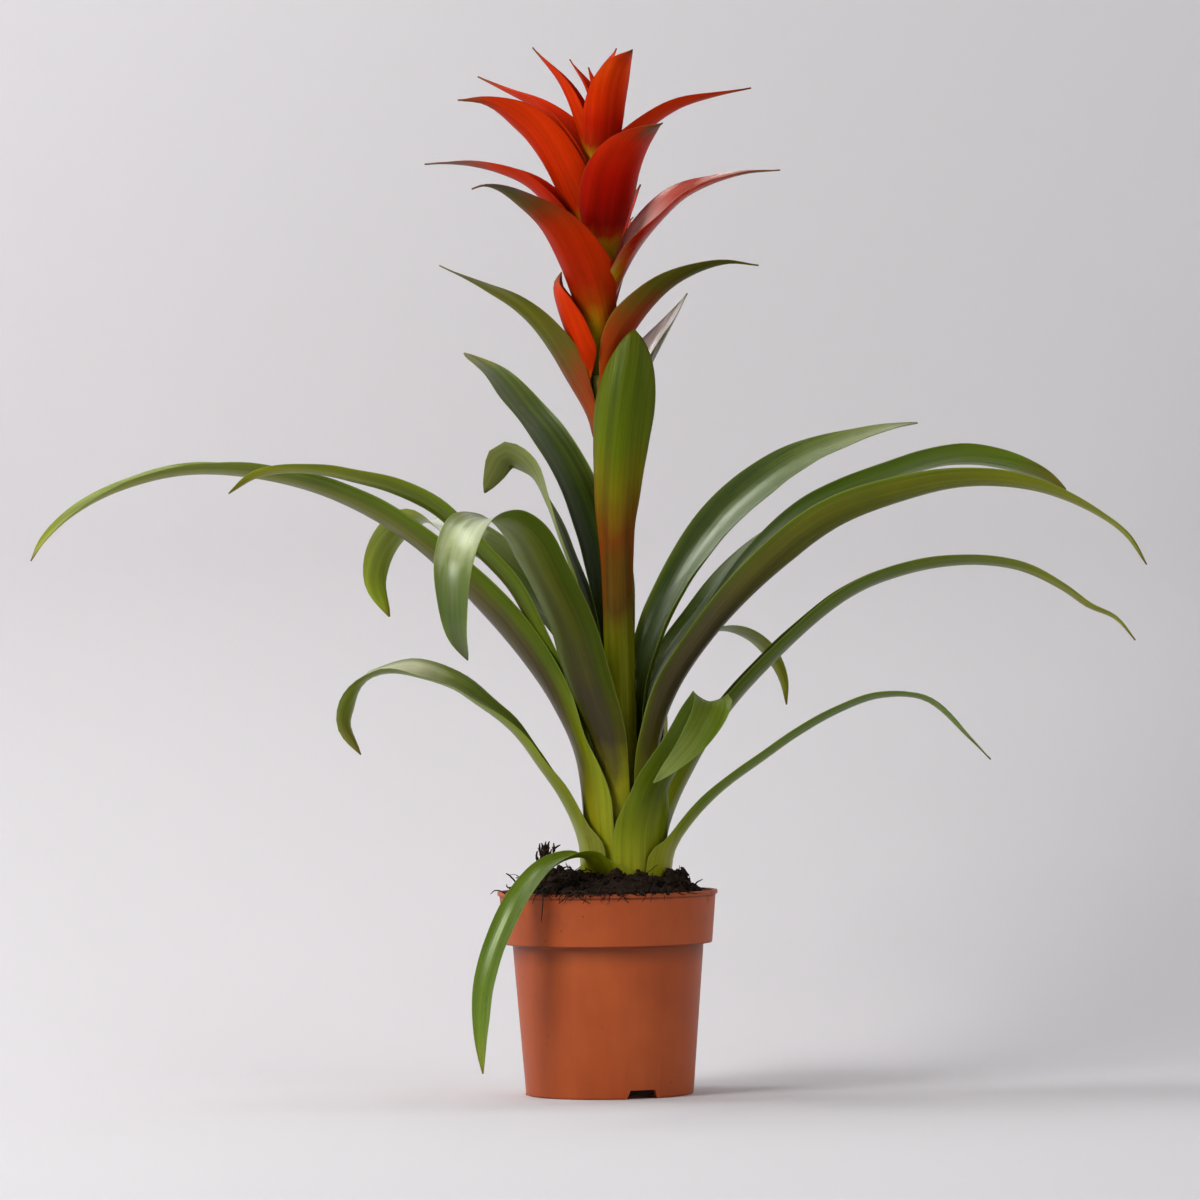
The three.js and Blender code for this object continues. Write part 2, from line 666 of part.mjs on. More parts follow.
// Closed skin over a blade's rows. Both faces are split along the same diagonal.
function skinOverBlade(rows, columns) {
  const positions = [];
  const faces = [];
  for (const [upper, lower] of rows) {
    upper.forEach((point) => positions.push(point.x, point.y, point.z));
    lower.forEach((point) => positions.push(point.x, point.y, point.z));
  }
  const ringSize = 2 * columns;
  const quad = (a, b, c, d) => faces.push(a, c, b, a, d, c);
  for (let row = 0; row + 1 < rows.length; row += 1) {
    const base = row * ringSize;
    const next = base + ringSize;
    for (let column = 0; column + 1 < columns; column += 1) {
      quad(base + column, base + column + 1, next + column + 1, next + column);
      const low = base + columns + column;
      const lowNext = next + columns + column;
      faces.push(low, low + 1, lowNext + 1, low, lowNext + 1, lowNext);
    }
    const last = columns - 1;
    quad(base + columns, base, next, next + columns);
    quad(base + last, base + columns + last, next + columns + last, next + last);
  }
  const tip = (rows.length - 1) * ringSize;
  for (let column = 0; column + 1 < columns; column += 1) {
    quad(column + 1, column, columns + column, columns + column + 1);
    quad(tip + column, tip + column + 1, tip + columns + column + 1, tip + columns + column);
  }
  const geometry = new THREE.BufferGeometry();
  geometry.setAttribute('position', new THREE.Float32BufferAttribute(positions, 3));
  geometry.setIndex(faces);
  geometry.computeVertexNormals();
  return geometry;
}

// Width along a strap leaf: its sheath up to the neck, even along the blade, pointed at the tip
function leafWidth({ width, sheath, neck, taperFrom }) {
  return (s) => {
    const past = Math.max(0, (s - taperFrom) / (1 - taperFrom));
    const taper = Math.pow(1 - Math.pow(past, 2.2), 0.75);
    return Math.max(TIP_WIDTH, width * taper + (sheath - width) * (1 - pastNeck(s, neck)));
  };
}

// Width along a bract: broad in the lower half, with a long fine point, or a blunter one
function bractWidth({ width, rootShare = BRACT.rootShare, point = BRACT.finePoint }) {
  return (s) => {
    const past = Math.max(0, (s - BRACT.widest) / (1 - BRACT.widest));
    const taper = Math.pow(1 - Math.pow(past, point[0]), point[1]);
    const swell = rootShare + (1 - rootShare) * smooth(s / BRACT.widest);
    return Math.max(TIP_WIDTH, width * swell * taper);
  };
}

function makeLeaf(leaf, colour) {
  const radius = CAUDEX.radius - LAYER_STEP * leaf.layer;
  // The inner corner of the leaf's base clears the cone
  const root = caudexHeight(radius - LEAF_THICKNESS.mid) + 2 * GAP;
  const spine = [[radius, root], ...leaf.spine];
  const neck = (spine[1][1] - root) / spineLength(spine);
  const sheath = 2 * radius * THREE.MathUtils.degToRad(leaf.wrap);
  const geometry = bladeGeometry({
    ...leaf,
    axisX: PLANT_X,
    spine,
    neck,
    widthAt: leafWidth({
      width: leaf.width, sheath, neck: neck * (leaf.sheathEnd ?? 1), taperFrom: leaf.taperFrom ?? TAPER_FROM,
    }),
    ...LEAF_MESH,
  });
  addPiece(leaf.name, geometry, colour, ROUGHNESS.leaf);
}

function makeHeadBract(bract) {
  const spine = [[scapeRadius(bract.root) + BRACT.rootGap, bract.root], ...bract.spine];
  const geometry = bladeGeometry({
    azimuth: bract.azimuth,
    cup: bract.cup ?? BRACT.cup,
    roll: bract.roll,
    axisX: scapeX(bract.root),
    spine,
    neck: (spine[1][1] - bract.root) / spineLength(spine),
    widthAt: bractWidth(bract),
    ...BRACT_MESH,
  });
  addPiece(bract.name, geometry, COLOUR[bract.tone], ROUGHNESS.bract);
}

makePot();
makeSoil();
makeStem();
LEAVES.forEach((leaf) => makeLeaf(leaf, leaf.layer < DARK_LAYERS ? COLOUR.darkLeaf : COLOUR.leaf));
makeLeaf(FRONT_BRACT, COLOUR.green);
HEAD_BRACTS.forEach(makeHeadBract);

export default GROUP;
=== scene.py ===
"""Potted guzmania: leaves, bracts, peat and pot dressed over their solids, in a pale studio.

Lengths in the shape tables are millimetres, in the same frame as the solids: +Z up, the origin at
the centre of the pot's base, the viewer on -Y. Lights, the sweep and materials are in metres.
"""

from __future__ import annotations

import logging
import math
from dataclasses import dataclass, replace
from enum import Enum
from typing import Sequence

import bmesh
import bpy
import numpy as np
from bpy.types import Material, Mesh, NodeSocket, Object
from mathutils import Matrix, Vector, noise

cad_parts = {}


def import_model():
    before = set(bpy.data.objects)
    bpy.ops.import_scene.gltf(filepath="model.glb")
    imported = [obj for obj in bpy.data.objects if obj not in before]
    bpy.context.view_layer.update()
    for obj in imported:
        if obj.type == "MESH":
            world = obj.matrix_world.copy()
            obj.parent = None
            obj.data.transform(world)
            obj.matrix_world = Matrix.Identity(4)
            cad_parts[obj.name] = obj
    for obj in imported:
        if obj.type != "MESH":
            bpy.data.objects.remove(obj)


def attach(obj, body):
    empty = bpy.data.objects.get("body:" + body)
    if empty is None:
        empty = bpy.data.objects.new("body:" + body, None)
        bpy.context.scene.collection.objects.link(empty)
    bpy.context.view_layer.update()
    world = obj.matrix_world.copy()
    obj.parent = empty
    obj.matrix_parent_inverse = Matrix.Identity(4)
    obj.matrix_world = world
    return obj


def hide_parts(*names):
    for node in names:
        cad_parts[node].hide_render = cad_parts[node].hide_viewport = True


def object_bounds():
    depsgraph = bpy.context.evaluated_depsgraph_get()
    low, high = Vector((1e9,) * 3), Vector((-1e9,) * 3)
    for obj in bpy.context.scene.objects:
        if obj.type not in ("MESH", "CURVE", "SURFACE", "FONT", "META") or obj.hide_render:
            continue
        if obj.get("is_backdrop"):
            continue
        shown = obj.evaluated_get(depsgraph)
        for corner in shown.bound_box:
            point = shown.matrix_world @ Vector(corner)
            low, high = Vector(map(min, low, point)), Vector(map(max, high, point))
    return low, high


LOG = logging.getLogger("guzmania")
MM = 0.001
FULL_TURN = 2.0 * math.pi
BODY = "root"

# The plant's axis stands a little to the right of the pot's centre
PLANT_X = 11.0
# The scape: X and height of its axis, its radii, where it starts to thin, and its top
SCAPE_AXIS = (
    (11, 124), (12, 209), (8, 292), (2, 363), (-1, 428), (1, 493), (0, 528), (2, 569), (5, 604),
)
SCAPE_RADIUS = 4.6
SCAPE_TIP_RADIUS = 2.2
SCAPE_THINS_FROM = 478.0
SCAPE_TOP = 602.0
# The short stem's cone, and the step, gap and thickness of the sheaths on it
CAUDEX_RADIUS = 28.0
CAUDEX_SHOULDER = 118.4
CAUDEX_SLOPE = 2.0
LAYER_STEP = 1.9
CLEARANCE = 0.35
SOLID_MID = 0.95
# Where a sheath turns into its blade, as shares of the neck, and limits of every blade
NECK_FROM = 0.75
NECK_SPAN = 0.9
TIP_WIDTH = 0.9
MAX_CLASP = 1.9
# Bracts: their gap to the scape, where they are widest, and their cup
BRACT_ROOT_GAP = 1.3
BRACT_WIDEST = 0.36
BRACT_CUP = (1.3, 1.15, 0.6)

Point = tuple[float, ...]
Stops = dict[float, str]
Socket = NodeSocket


class Face(Enum):
    """The two faces of a blade."""

    UPPER = 1.0
    UNDER = 0.0


def smooth(value: float) -> float:
    """Eases from 0 to 1.

    Args:
        value: Any number; below 0 and above 1 it is held.

    Returns:
        The eased value, from 0 to 1.
    """
    held = min(1.0, max(0.0, value))
    return held * held * (3.0 - 2.0 * held)


def keyed(keys: Sequence[float], place: float) -> float:
    """Reads keys that are spread evenly from 0 to 1.

    Args:
        keys: Two or more values.
        place: Where to read, from 0 to 1.

    Returns:
        The value there, eased between neighbouring keys.
    """
    spot = min(1.0, max(0.0, place)) * (len(keys) - 1)
    index = min(len(keys) - 2, int(spot))
    return keys[index] + (keys[index + 1] - keys[index]) * smooth(spot - index)


def scape_x(height: float) -> float:
    """Finds the scape's axis at a height.

    Args:
        height: Height in millimetres.

    Returns:
        The axis's X in millimetres.
    """
    heights = [point[1] for point in SCAPE_AXIS]
    places = [point[0] for point in SCAPE_AXIS]
    return float(np.interp(height, heights, places))


def scape_radius(height: float) -> float:
    """Finds the scape's radius at a height.

    Args:
        height: Height in millimetres.

    Returns:
        The radius in millimetres, thinning through the flower head.
    """
    thinning = smooth((height - SCAPE_THINS_FROM) / (SCAPE_TOP - SCAPE_THINS_FROM))
    return SCAPE_RADIUS + (SCAPE_TIP_RADIUS - SCAPE_RADIUS) * thinning


def linear(code: str) -> tuple[float, float, float, float]:
    """Turns a six-digit colour code into linear light.

    Args:
        code: Red, green and blue as two hexadecimal digits each.

    Returns:
        Linear red, green, blue and an alpha of 1.
    """
    values = [int(code[index : index + 2], 16) / 255.0 for index in (0, 2, 4)]
    lit = [v / 12.92 if v <= 0.04045 else ((v + 0.055) / 1.055) ** 2.4 for v in values]
    return lit[0], lit[1], lit[2], 1.0


def level_directions(azimuth: float) -> tuple[np.ndarray, np.ndarray]:
    """Finds the outward and sideways directions of an azimuth, both level.

    Args:
        azimuth: Direction in degrees, 0 towards +X.

    Returns:
        Two unit vectors.
    """
    turn = math.radians(azimuth)
    outward = np.array([math.cos(turn), math.sin(turn), 0.0])
    return outward, np.array([-math.sin(turn), math.cos(turn), 0.0])


class Spine:
    """A centripetal curve through points, read by its length, as the solids' spines are."""

    SAMPLES = 60

    def __init__(self, points: Sequence[np.ndarray]) -> None:
        """Samples the curve finely.

        Args:
            points: The points that the curve goes through, in millimetres.
        """
        knots = [np.asarray(point, float) for point in points]
        padded = [2 * knots[0] - knots[1], *knots, 2 * knots[-1] - knots[-2]]
        rows = []
        for index in range(len(knots) - 1):
            last = index == len(knots) - 2
            count = self.SAMPLES + (1 if last else 0)
            weights = np.arange(count) / self.SAMPLES
            rows.append(self._segment(padded[index : index + 4], weights))
        self.points = np.vstack(rows)
        steps = np.linalg.norm(np.diff(self.points, axis=0), axis=1)
        self.lengths = np.concatenate([[0.0], np.cumsum(steps)])
        self.total = float(self.lengths[-1])

    @staticmethod
    def _segment(four: Sequence[np.ndarray], weights: np.ndarray) -> np.ndarray:
        """Points of the stretch between the second and third of four knots.

        Args:
            four: Four neighbouring knots.
            weights: Places along the stretch, from 0 to 1.

        Returns:
            One row of X, Y, Z for each weight.
        """
        p0, p1, p2, p3 = four
        d0, d1, d2 = (math.sqrt(np.linalg.norm(b - a)) for a, b in ((p0, p1), (p1, p2), (p2, p3)))
        t1 = ((p1 - p0) / d0 - (p2 - p0) / (d0 + d1) + (p2 - p1) / d1) * d1
        t2 = ((p2 - p1) / d1 - (p3 - p1) / (d1 + d2) + (p3 - p2) / d2) * d1
        t = weights[:, None]
        return p1 + t1 * t + (3 * (p2 - p1) - 2 * t1 - t2) * t**2 + (2 * (p1 - p2) + t1 + t2) * t**3

    def at(self, share: float) -> tuple[np.ndarray, np.ndarray]:
        """Reads the curve at a share of its length.

        Args:
            share: From 0 at the root to 1 at the tip.

        Returns:
            The point and the unit direction there.
        """
        place = share * self.total
        point = self._read(place)
        step = min(0.5, 0.01 * self.total)
        ahead = self._read(min(self.total, place + step))
        behind = self._read(max(0.0, place - step))
        along = ahead - behind
        return point, along / np.linalg.norm(along)

    def _read(self, place: float) -> np.ndarray:
        """Point at a length from the root.

        Args:
            place: Length in millimetres.

        Returns:
            X, Y and Z in millimetres.
        """
        return np.array([np.interp(place, self.lengths, self.points[:, axis]) for axis in range(3)])


def loft(name: str, rows: Sequence[np.ndarray]) -> Mesh:
    """Skins a stack of closed rings and caps both ends.

    Args:
        name: The mesh's name.
        rows: Rings of equal length, in millimetres.

    Returns:
        The mesh, in metres, smooth, facing outwards.
    """
    size = len(rows[0])
    points = np.vstack(rows) * MM
    faces = []
    for row in range(len(rows) - 1):
        base, above = row * size, (row + 1) * size
        for index in range(size):
            after = (index + 1) % size
            faces.append((base + index, base + after, above + after, above + index))
    faces.append(tuple(range(size - 1, -1, -1)))
    last = (len(rows) - 1) * size
    faces.append(tuple(range(last, last + size)))
    mesh = bpy.data.meshes.new(name)
    mesh.from_pydata(points.tolist(), [], faces)
    face_outwards(mesh)
    mesh.shade_smooth()
    return mesh


def face_outwards(mesh: Mesh) -> None:
    """Turns every face of a closed mesh outwards.

    Args:
        mesh: The mesh to change.
    """
    work = bmesh.new()
    work.from_mesh(mesh)
    bmesh.ops.recalc_face_normals(work, faces=work.faces)
    work.to_mesh(mesh)
    work.free()


def placed(name: str, data: bpy.types.ID) -> Object:
    """Adds an object to the scene.

    Args:
        name: The object's name.
        data: Its mesh, light or camera.

    Returns:
        The object.
    """
    added = bpy.data.objects.new(name, data)
    bpy.context.scene.collection.objects.link(added)
    return added


def stand_for(name: str, mesh: Mesh, slot: str, *nodes: str) -> Object:
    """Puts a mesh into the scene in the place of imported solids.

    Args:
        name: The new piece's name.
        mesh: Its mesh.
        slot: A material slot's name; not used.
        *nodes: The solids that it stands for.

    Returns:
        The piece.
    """
    piece = placed(name, mesh)
    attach(piece, BODY)
    if nodes:
        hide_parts(*nodes)
    return piece


def turned(profile: Sequence[tuple[float, float]], sides: int) -> list[np.ndarray]:
    """Turns a profile round the Z axis.

    Args:
        profile: Radii and heights in millimetres, the outline of a solid of revolution.
        sides: Points in each ring.

    Returns:
        One ring for each point of the profile.
    """
    angles = np.arange(sides) * 2.0 * math.pi / sides
    circle = np.column_stack([np.cos(angles), np.sin(angles), np.zeros(sides)])
    return [circle * radius + np.array([0.0, 0.0, height]) for radius, height in profile]


def rounded(
    profile: Sequence[tuple[float, float, float]], steps: int = 4
) -> list[tuple[float, float]]:
    """Rounds a profile's corners.

    Args:
        profile: Radius, height and how far each corner is cut back, in millimetres.
        steps: Stretches in each rounded corner.

    Returns:
        Radii and heights.
    """
    points = [np.array(corner[:2]) for corner in profile]
    smoothed: list[tuple[float, float]] = []
    for index, (corner, entry) in enumerate(zip(points, profile)):
        cut = entry[2]
        if cut <= 0.0 or index in (0, len(points) - 1):
            smoothed.append((float(corner[0]), float(corner[1])))
            continue
        before = points[index - 1] - corner
        after = points[index + 1] - corner
        start = corner + before / np.linalg.norm(before) * cut
        end = corner + after / np.linalg.norm(after) * cut
        for step in range(steps + 1):
            t = step / steps
            spot = start * (1 - t) ** 2 + corner * 2 * t * (1 - t) + end * t**2
            smoothed.append((float(spot[0]), float(spot[1])))
    return smoothed


class Graph:
    """Short ways to add shader nodes; most of them return the new node's output."""

    # Most of a noise's values lie between these two
    NOISE_RANGE = (0.3, 0.7)

    def __init__(self, material: Material) -> None:
        """Empties a material's node tree and gives it a Principled shader.

        Args:
            material: The material to fill.
        """
        material.use_nodes = True
        self.tree = material.node_tree
        self.tree.nodes.clear()
        self.shader = self.tree.nodes.new("ShaderNodeBsdfPrincipled")
        output = self.tree.nodes.new("ShaderNodeOutputMaterial")
        self.tree.links.new(self.shader.outputs["BSDF"], output.inputs["Surface"])

    def feed(self, target: Socket, source: object) -> None:
        """Links an output to an input, or sets the input's own value.

        Args:
            target: The input.
            source: An output socket, a number, or a colour or vector.
        """
        if isinstance(source, Socket):
            self.tree.links.new(source, target)
        else:
            target.default_value = source

    def put(self, name: str, source: object) -> None:
        """Feeds one of the shader's inputs.

        Args:
            name: The input's name.
            source: An output socket, a number, or a colour or vector.
        """
        self.feed(self.shader.inputs[name], source)

    def attribute(self, name: str) -> Socket:
        """Reads a number stored on the mesh's points.

        Args:
            name: The attribute's name.

        Returns:
            The number.
        """
        node = self.tree.nodes.new("ShaderNodeAttribute")
        node.attribute_name = name
        return node.outputs["Fac"]

    def place(self) -> Socket:
        """Reads the point's place in the piece's own frame.

        Returns:
            The place in metres.
        """
        return self.tree.nodes.new("ShaderNodeTexCoord").outputs["Object"]

    def axes(self, vector: Socket) -> tuple[Socket, ...]:
        """Splits a vector.

        Args:
            vector: The vector.

        Returns:
            Its X, Y and Z.
        """
        node = self.tree.nodes.new("ShaderNodeSeparateXYZ")
        self.feed(node.inputs[0], vector)
        return tuple(node.outputs)

    def vector(self, x: object, y: object, z: object) -> Socket:
        """Joins three numbers into a vector.

        Args:
            x: First number or output.
            y: Second number or output.
            z: Third number or output.

        Returns:
            The vector.
        """
        node = self.tree.nodes.new("ShaderNodeCombineXYZ")
        for target, source in zip(node.inputs, (x, y, z)):
            self.feed(target, source)
        return node.outputs[0]

    def scaled(self, vector: Socket, scale: Point) -> Socket:
        """Multiplies a vector, axis by axis.

        Args:
            vector: The vector.
            scale: One factor for each axis.

        Returns:
            The product.
        """
        node = self.tree.nodes.new("ShaderNodeVectorMath")
        node.operation = "MULTIPLY"
        self.feed(node.inputs[0], vector)
        node.inputs[1].default_value = scale
        return node.outputs[0]

    def math(self, operation: str, a: object, b: object = 0.0) -> Socket:
        """Combines two numbers.

        Args:
            operation: The Math node's operation, such as "ADD".
            a: First number or output.
            b: Second number or output.

        Returns:
            The result.
        """
        node = self.tree.nodes.new("ShaderNodeMath")
        node.operation = operation
        self.feed(node.inputs[0], a)
        self.feed(node.inputs[1], b)
        return node.outputs[0]

    def times(self, a: object, b: object) -> Socket:
        """Multiplies two numbers.

        Args:
            a: First number or output.
            b: Second number or output.

        Returns:
            The product.
        """
        return self.math("MULTIPLY", a, b)

    def plus(self, a: object, b: object) -> Socket:
        """Adds two numbers.

        Args:
            a: First number or output.
            b: Second number or output.

        Returns:
            The sum.
        """
        return self.math("ADD", a, b)

    def span(
        self, value: object, low: float, high: float, start: float = 0.0, end: float = 1.0
    ) -> Socket:
        """Maps one range to another, held at both ends and eased between.

        Args:
            value: The number or output to map.
            low: Where the first range starts.
            high: Where it ends.
            start: The result at low.
            end: The result at high.

        Returns:
            The mapped number.
        """
        node = self.tree.nodes.new("ShaderNodeMapRange")
        node.interpolation_type = "SMOOTHSTEP"
        for target, source in zip(node.inputs, (value, low, high, start, end)):
            self.feed(target, source)
        return node.outputs[0]

    def contrast(self, value: object, start: float, end: float) -> Socket:
        """Maps the middle of a noise's range to another range.

        Args:
            value: The noise.
            start: The result where the noise is low.
            end: The result where it is high.

        Returns:
            The mapped number.
        """
        return self.span(value, *self.NOISE_RANGE, start, end)

    def noise(self, vector: object, scale: float, detail: float = 2.0) -> Socket:
        """Adds smooth noise.

        Args:
            vector: Where to read it.
            scale: Lumps per unit of the vector.
            detail: How many finer layers are added.

        Returns:
            A number from 0 to 1, mostly near 0.5.
        """
        node = self.tree.nodes.new("ShaderNodeTexNoise")
        self.feed(node.inputs["Vector"], vector)
        node.inputs["Scale"].default_value = scale
        node.inputs["Detail"].default_value = detail
        return node.outputs["Fac"]

    def cells(self, vector: object, scale: float) -> Socket:
        """Adds Voronoi cells.

        Args:
            vector: Where to read them.
            scale: Cells per unit of the vector.

        Returns:
            The distance to the nearest cell's centre.
        """
        node = self.tree.nodes.new("ShaderNodeTexVoronoi")
        self.feed(node.inputs["Vector"], vector)
        node.inputs["Scale"].default_value = scale
        return node.outputs["Distance"]

    def ramp(self, factor: object, stops: Stops) -> Socket:
        """Adds a colour ramp.

        Args:
            factor: Where to read it.
            stops: Places from 0 to 1 with their colour codes.

        Returns:
            The colour.
        """
        node = self.tree.nodes.new("ShaderNodeValToRGB")
        elements = node.color_ramp.elements
        while len(elements) < len(stops):
            elements.new(0.5)
        for element, (position, code) in zip(elements, stops.items()):
            element.position = position
            element.color = linear(code)
        self.feed(node.inputs[0], factor)
        return node.outputs[0]

    def mix(self, factor: object, a: object, b: object, blend: str = "MIX") -> Socket:
        """Mixes two colours.

        Args:
            factor: From 0, all the first, to 1, all the second.
            a: First colour or output.
            b: Second colour or output.
            blend: The Mix node's blend type.

        Returns:
            The mixed colour.
        """
        node = self.tree.nodes.new("ShaderNodeMix")
        node.data_type = "RGBA"
        node.blend_type = blend
        for target, source in zip((node.inputs[0], node.inputs[6], node.inputs[7]), (factor, a, b)):
            self.feed(target, source)
        return node.outputs[2]

    def grey(self, value: object) -> Socket:
        """Turns a number into a grey.

        Args:
            value: The number or output.

        Returns:
            A vector with the number on each axis, which reads as a colour.
        """
        return self.vector(value, value, value)

    def shaded(self, colour: object, shade: object, share: float = 1.0) -> Socket:
        """Darkens or lightens a colour.

        Args:
            colour: The colour.
            shade: The factor, below 1 to darken and above 1 to lighten.
            share: How much of that shows, from 0 to 1.

        Returns:
            The shaded colour.
        """
        return self.mix(share, colour, self.grey(shade), "MULTIPLY")

    def bump(self, height: object, strength: float, distance: float) -> None:
        """Adds relief to the shader's normal.

        Args:
            height: The relief, about 0 to 1.
            strength: How much of it shows.
            distance: How deep it is, in metres.
        """
        node = self.tree.nodes.new("ShaderNodeBump")
        node.inputs["Strength"].default_value = strength
        node.inputs["Distance"].default_value = distance
        self.feed(node.inputs["Height"], height)
        self.put("Normal", node.outputs[0])


@dataclass(frozen=True)
class BladeFinish:
    """Looks of a leaf or bract, with colours from its root to its tip.

    Attributes:
        upper: Colours of the upper face, in a few finishes with a painted highlight.
        under: Colours of the under face along its keel.
        margin: Colours of the under face towards its margins.
        keel: How far across the keel's colour reaches, from 0 to 1.
        rim: Colour of the thin margin itself.
        roughness: Roughness of the wax, lower for more shine.
        shine: Strength of the wax's reflection.
        tint: Colour of that reflection, which takes its haze off the blade.
        coat: Strength of the clear gloss over the upper face.
        streaks: How far the colour changes from vein to vein.
        mottle: How far it changes in soft patches.
        relief: How deep the lengthwise pleats are.
    """

    upper: Stops
    under: Stops
    margin: Stops
    keel: float = 0.5
    rim: str = "7c8a3a"
    roughness: float = 0.34
    shine: float = 0.36
    tint: Point = (0.8, 1.0, 0.42)
    coat: float = 0.0
    streaks: float = 0.16
    mottle: float = 0.35
    relief: float = 0.45

    VEIN_SCALE = 1.15
    PLEAT_SCALE = 0.24
    STRETCH = 0.014
    SEED_SPREAD = 7.0
    MOTTLE_SCALE = 42.0
    # How the colours' edges wander, but for the root and the tip, and more across than along
    EDGE_WANDER = 0.09
    WANDER_FROM = (0.0, 0.12)
    WANDER_TO = (0.88, 0.96)
    WANDER_ACROSS = 1.5
    # How far the keel's edge fades inwards and outwards
    KEEL_FADE = (0.2, 0.25)
    # Ranges with their results: the margin's colour on the upper face, and the rim's
    UPPER_MARGIN = (0.75, 1.0, 0.0, 0.6)
    RIM_EDGE = (0.94, 0.99, 0.0, 0.5)
    WARM = (1.22, 1.1, 0.75, 1.0)
    WARM_PATCHES = (0.42, 0.72)
    # Dry specks, which show only here and there
    SPECK_SCALE = 210.0
    SPECK_SIZES = (0.04, 0.12, 0.6, 0.0)
    SPECK_AREA_SCALE = 60.0
    SPECK_AREAS = (0.66, 0.7)
    SPECK_TONE = "4a3a1a"
    # What patches, veins and the under face add to the roughness
    PATCH_DULLS = (0.35, 0.7, -0.04, 0.06)
    VEIN_DULLS = (-0.03, 0.04)
    UNDER_DULLER = 0.04
    VEIN_RELIEF = 0.22
    RELIEF_DEPTH = 0.0014
    IOR = 1.48
    COAT_ROUGHNESS = 0.31

    def material(self, name: str, seed: float) -> Material:
        """Makes the material of one blade.

        Args:
            name: The material's name.
            seed: Sets one blade's noise apart from the next one's.

        Returns:
            The material.
        """
        material = bpy.data.materials.new(name)
        graph = Graph(material)
        face = graph.attribute("face")
        lanes = graph.vector(graph.attribute("across_mm"), graph.attribute("along_mm"), seed)
        lanes = graph.scaled(lanes, (1.0, self.STRETCH, self.SEED_SPREAD))
        veins = graph.noise(lanes, self.VEIN_SCALE, 1.0)
        pleats = graph.noise(lanes, self.PLEAT_SCALE, 2.0)
        patches = graph.noise(graph.place(), self.MOTTLE_SCALE, 3.0)
        colour = self._colour(graph, pleats, patches, face)
        colour = self._detail(graph, colour, veins, pleats, patches)
        graph.put("Base Color", colour)
        patchy = graph.span(patches, *self.PATCH_DULLS)
        dull = graph.plus(patchy, graph.contrast(veins, *self.VEIN_DULLS))
        side = graph.span(face, 0.0, 1.0, self.roughness + self.UNDER_DULLER, self.roughness)
        graph.put("Roughness", graph.plus(side, dull))
        relief = graph.plus(pleats, graph.times(veins, self.VEIN_RELIEF))
        graph.bump(relief, self.relief, self.RELIEF_DEPTH)
        graph.put("IOR", self.IOR)
        graph.put("Specular IOR Level", self.shine)
        graph.put("Specular Tint", (*self.tint, 1.0))
        graph.put("Coat Weight", graph.times(face, self.coat))
        graph.put("Coat Roughness", self.COAT_ROUGHNESS)
        return material

    def _colour(self, graph: Graph, pleats: object, patches: object, face: object) -> Socket:
        """Colour from root to tip on each face.

        Args:
            graph: The material's nodes.
            pleats: Noise in broad lanes.
            patches: Noise in soft patches.
            face: 1 on the upper face and 0 on the under one.

        Returns:
            The colour.
        """
        wander = graph.math("SUBTRACT", graph.plus(pleats, patches), 1.0)
        wander = graph.times(wander, self.EDGE_WANDER)
        along = graph.attribute("along")
        past_root = graph.span(along, *self.WANDER_FROM)
        inward = graph.times(past_root, graph.span(along, *self.WANDER_TO, 1.0, 0.0))
        place = graph.plus(along, graph.times(wander, inward))
        edge = graph.math("ABSOLUTE", graph.attribute("across"))
        edge = graph.plus(edge, graph.times(wander, self.WANDER_ACROSS))
        margin = graph.ramp(place, self.margin)
        fade_in, fade_out = self.KEEL_FADE
        beyond = graph.span(edge, self.keel - fade_in, self.keel + fade_out)
        under = graph.mix(beyond, graph.ramp(place, self.under), margin)
        outer = graph.span(edge, *self.UPPER_MARGIN)
        upper = graph.mix(outer, graph.ramp(place, self.upper), margin)
        return graph.mix(face, under, upper)

    def _detail(
        self, graph: Graph, colour: object, veins: object, pleats: object, patches: object
    ) -> Socket:
        """Veins, patches, specks and the margin over the blade's colour.

        Args:
            graph: The material's nodes.
            colour: The colour from root to tip.
            veins: Noise in fine lanes.
            pleats: Noise in broad lanes.
            patches: Noise in soft patches.

        Returns:
            The finished colour.
        """
        for lanes, change in ((pleats, self.streaks), (veins, 0.5 * self.streaks)):
            colour = graph.shaded(colour, graph.contrast(lanes, 1.0 - change, 1.0 + change))
        warm = graph.mix(1.0, colour, self.WARM, "MULTIPLY")
        warmed = graph.span(patches, *self.WARM_PATCHES, 0.0, self.mottle)
        colour = graph.mix(warmed, colour, warm)
        specks = graph.span(graph.cells(graph.place(), self.SPECK_SCALE), *self.SPECK_SIZES)
        areas = graph.noise(graph.place(), self.SPECK_AREA_SCALE, 0.0)
        rare = graph.span(areas, *self.SPECK_AREAS)
        colour = graph.mix(graph.times(specks, rare), colour, linear(self.SPECK_TONE))
        edge = graph.math("ABSOLUTE", graph.attribute("across"))
        return graph.mix(graph.span(edge, *self.RIM_EDGE), colour, linear(self.rim))


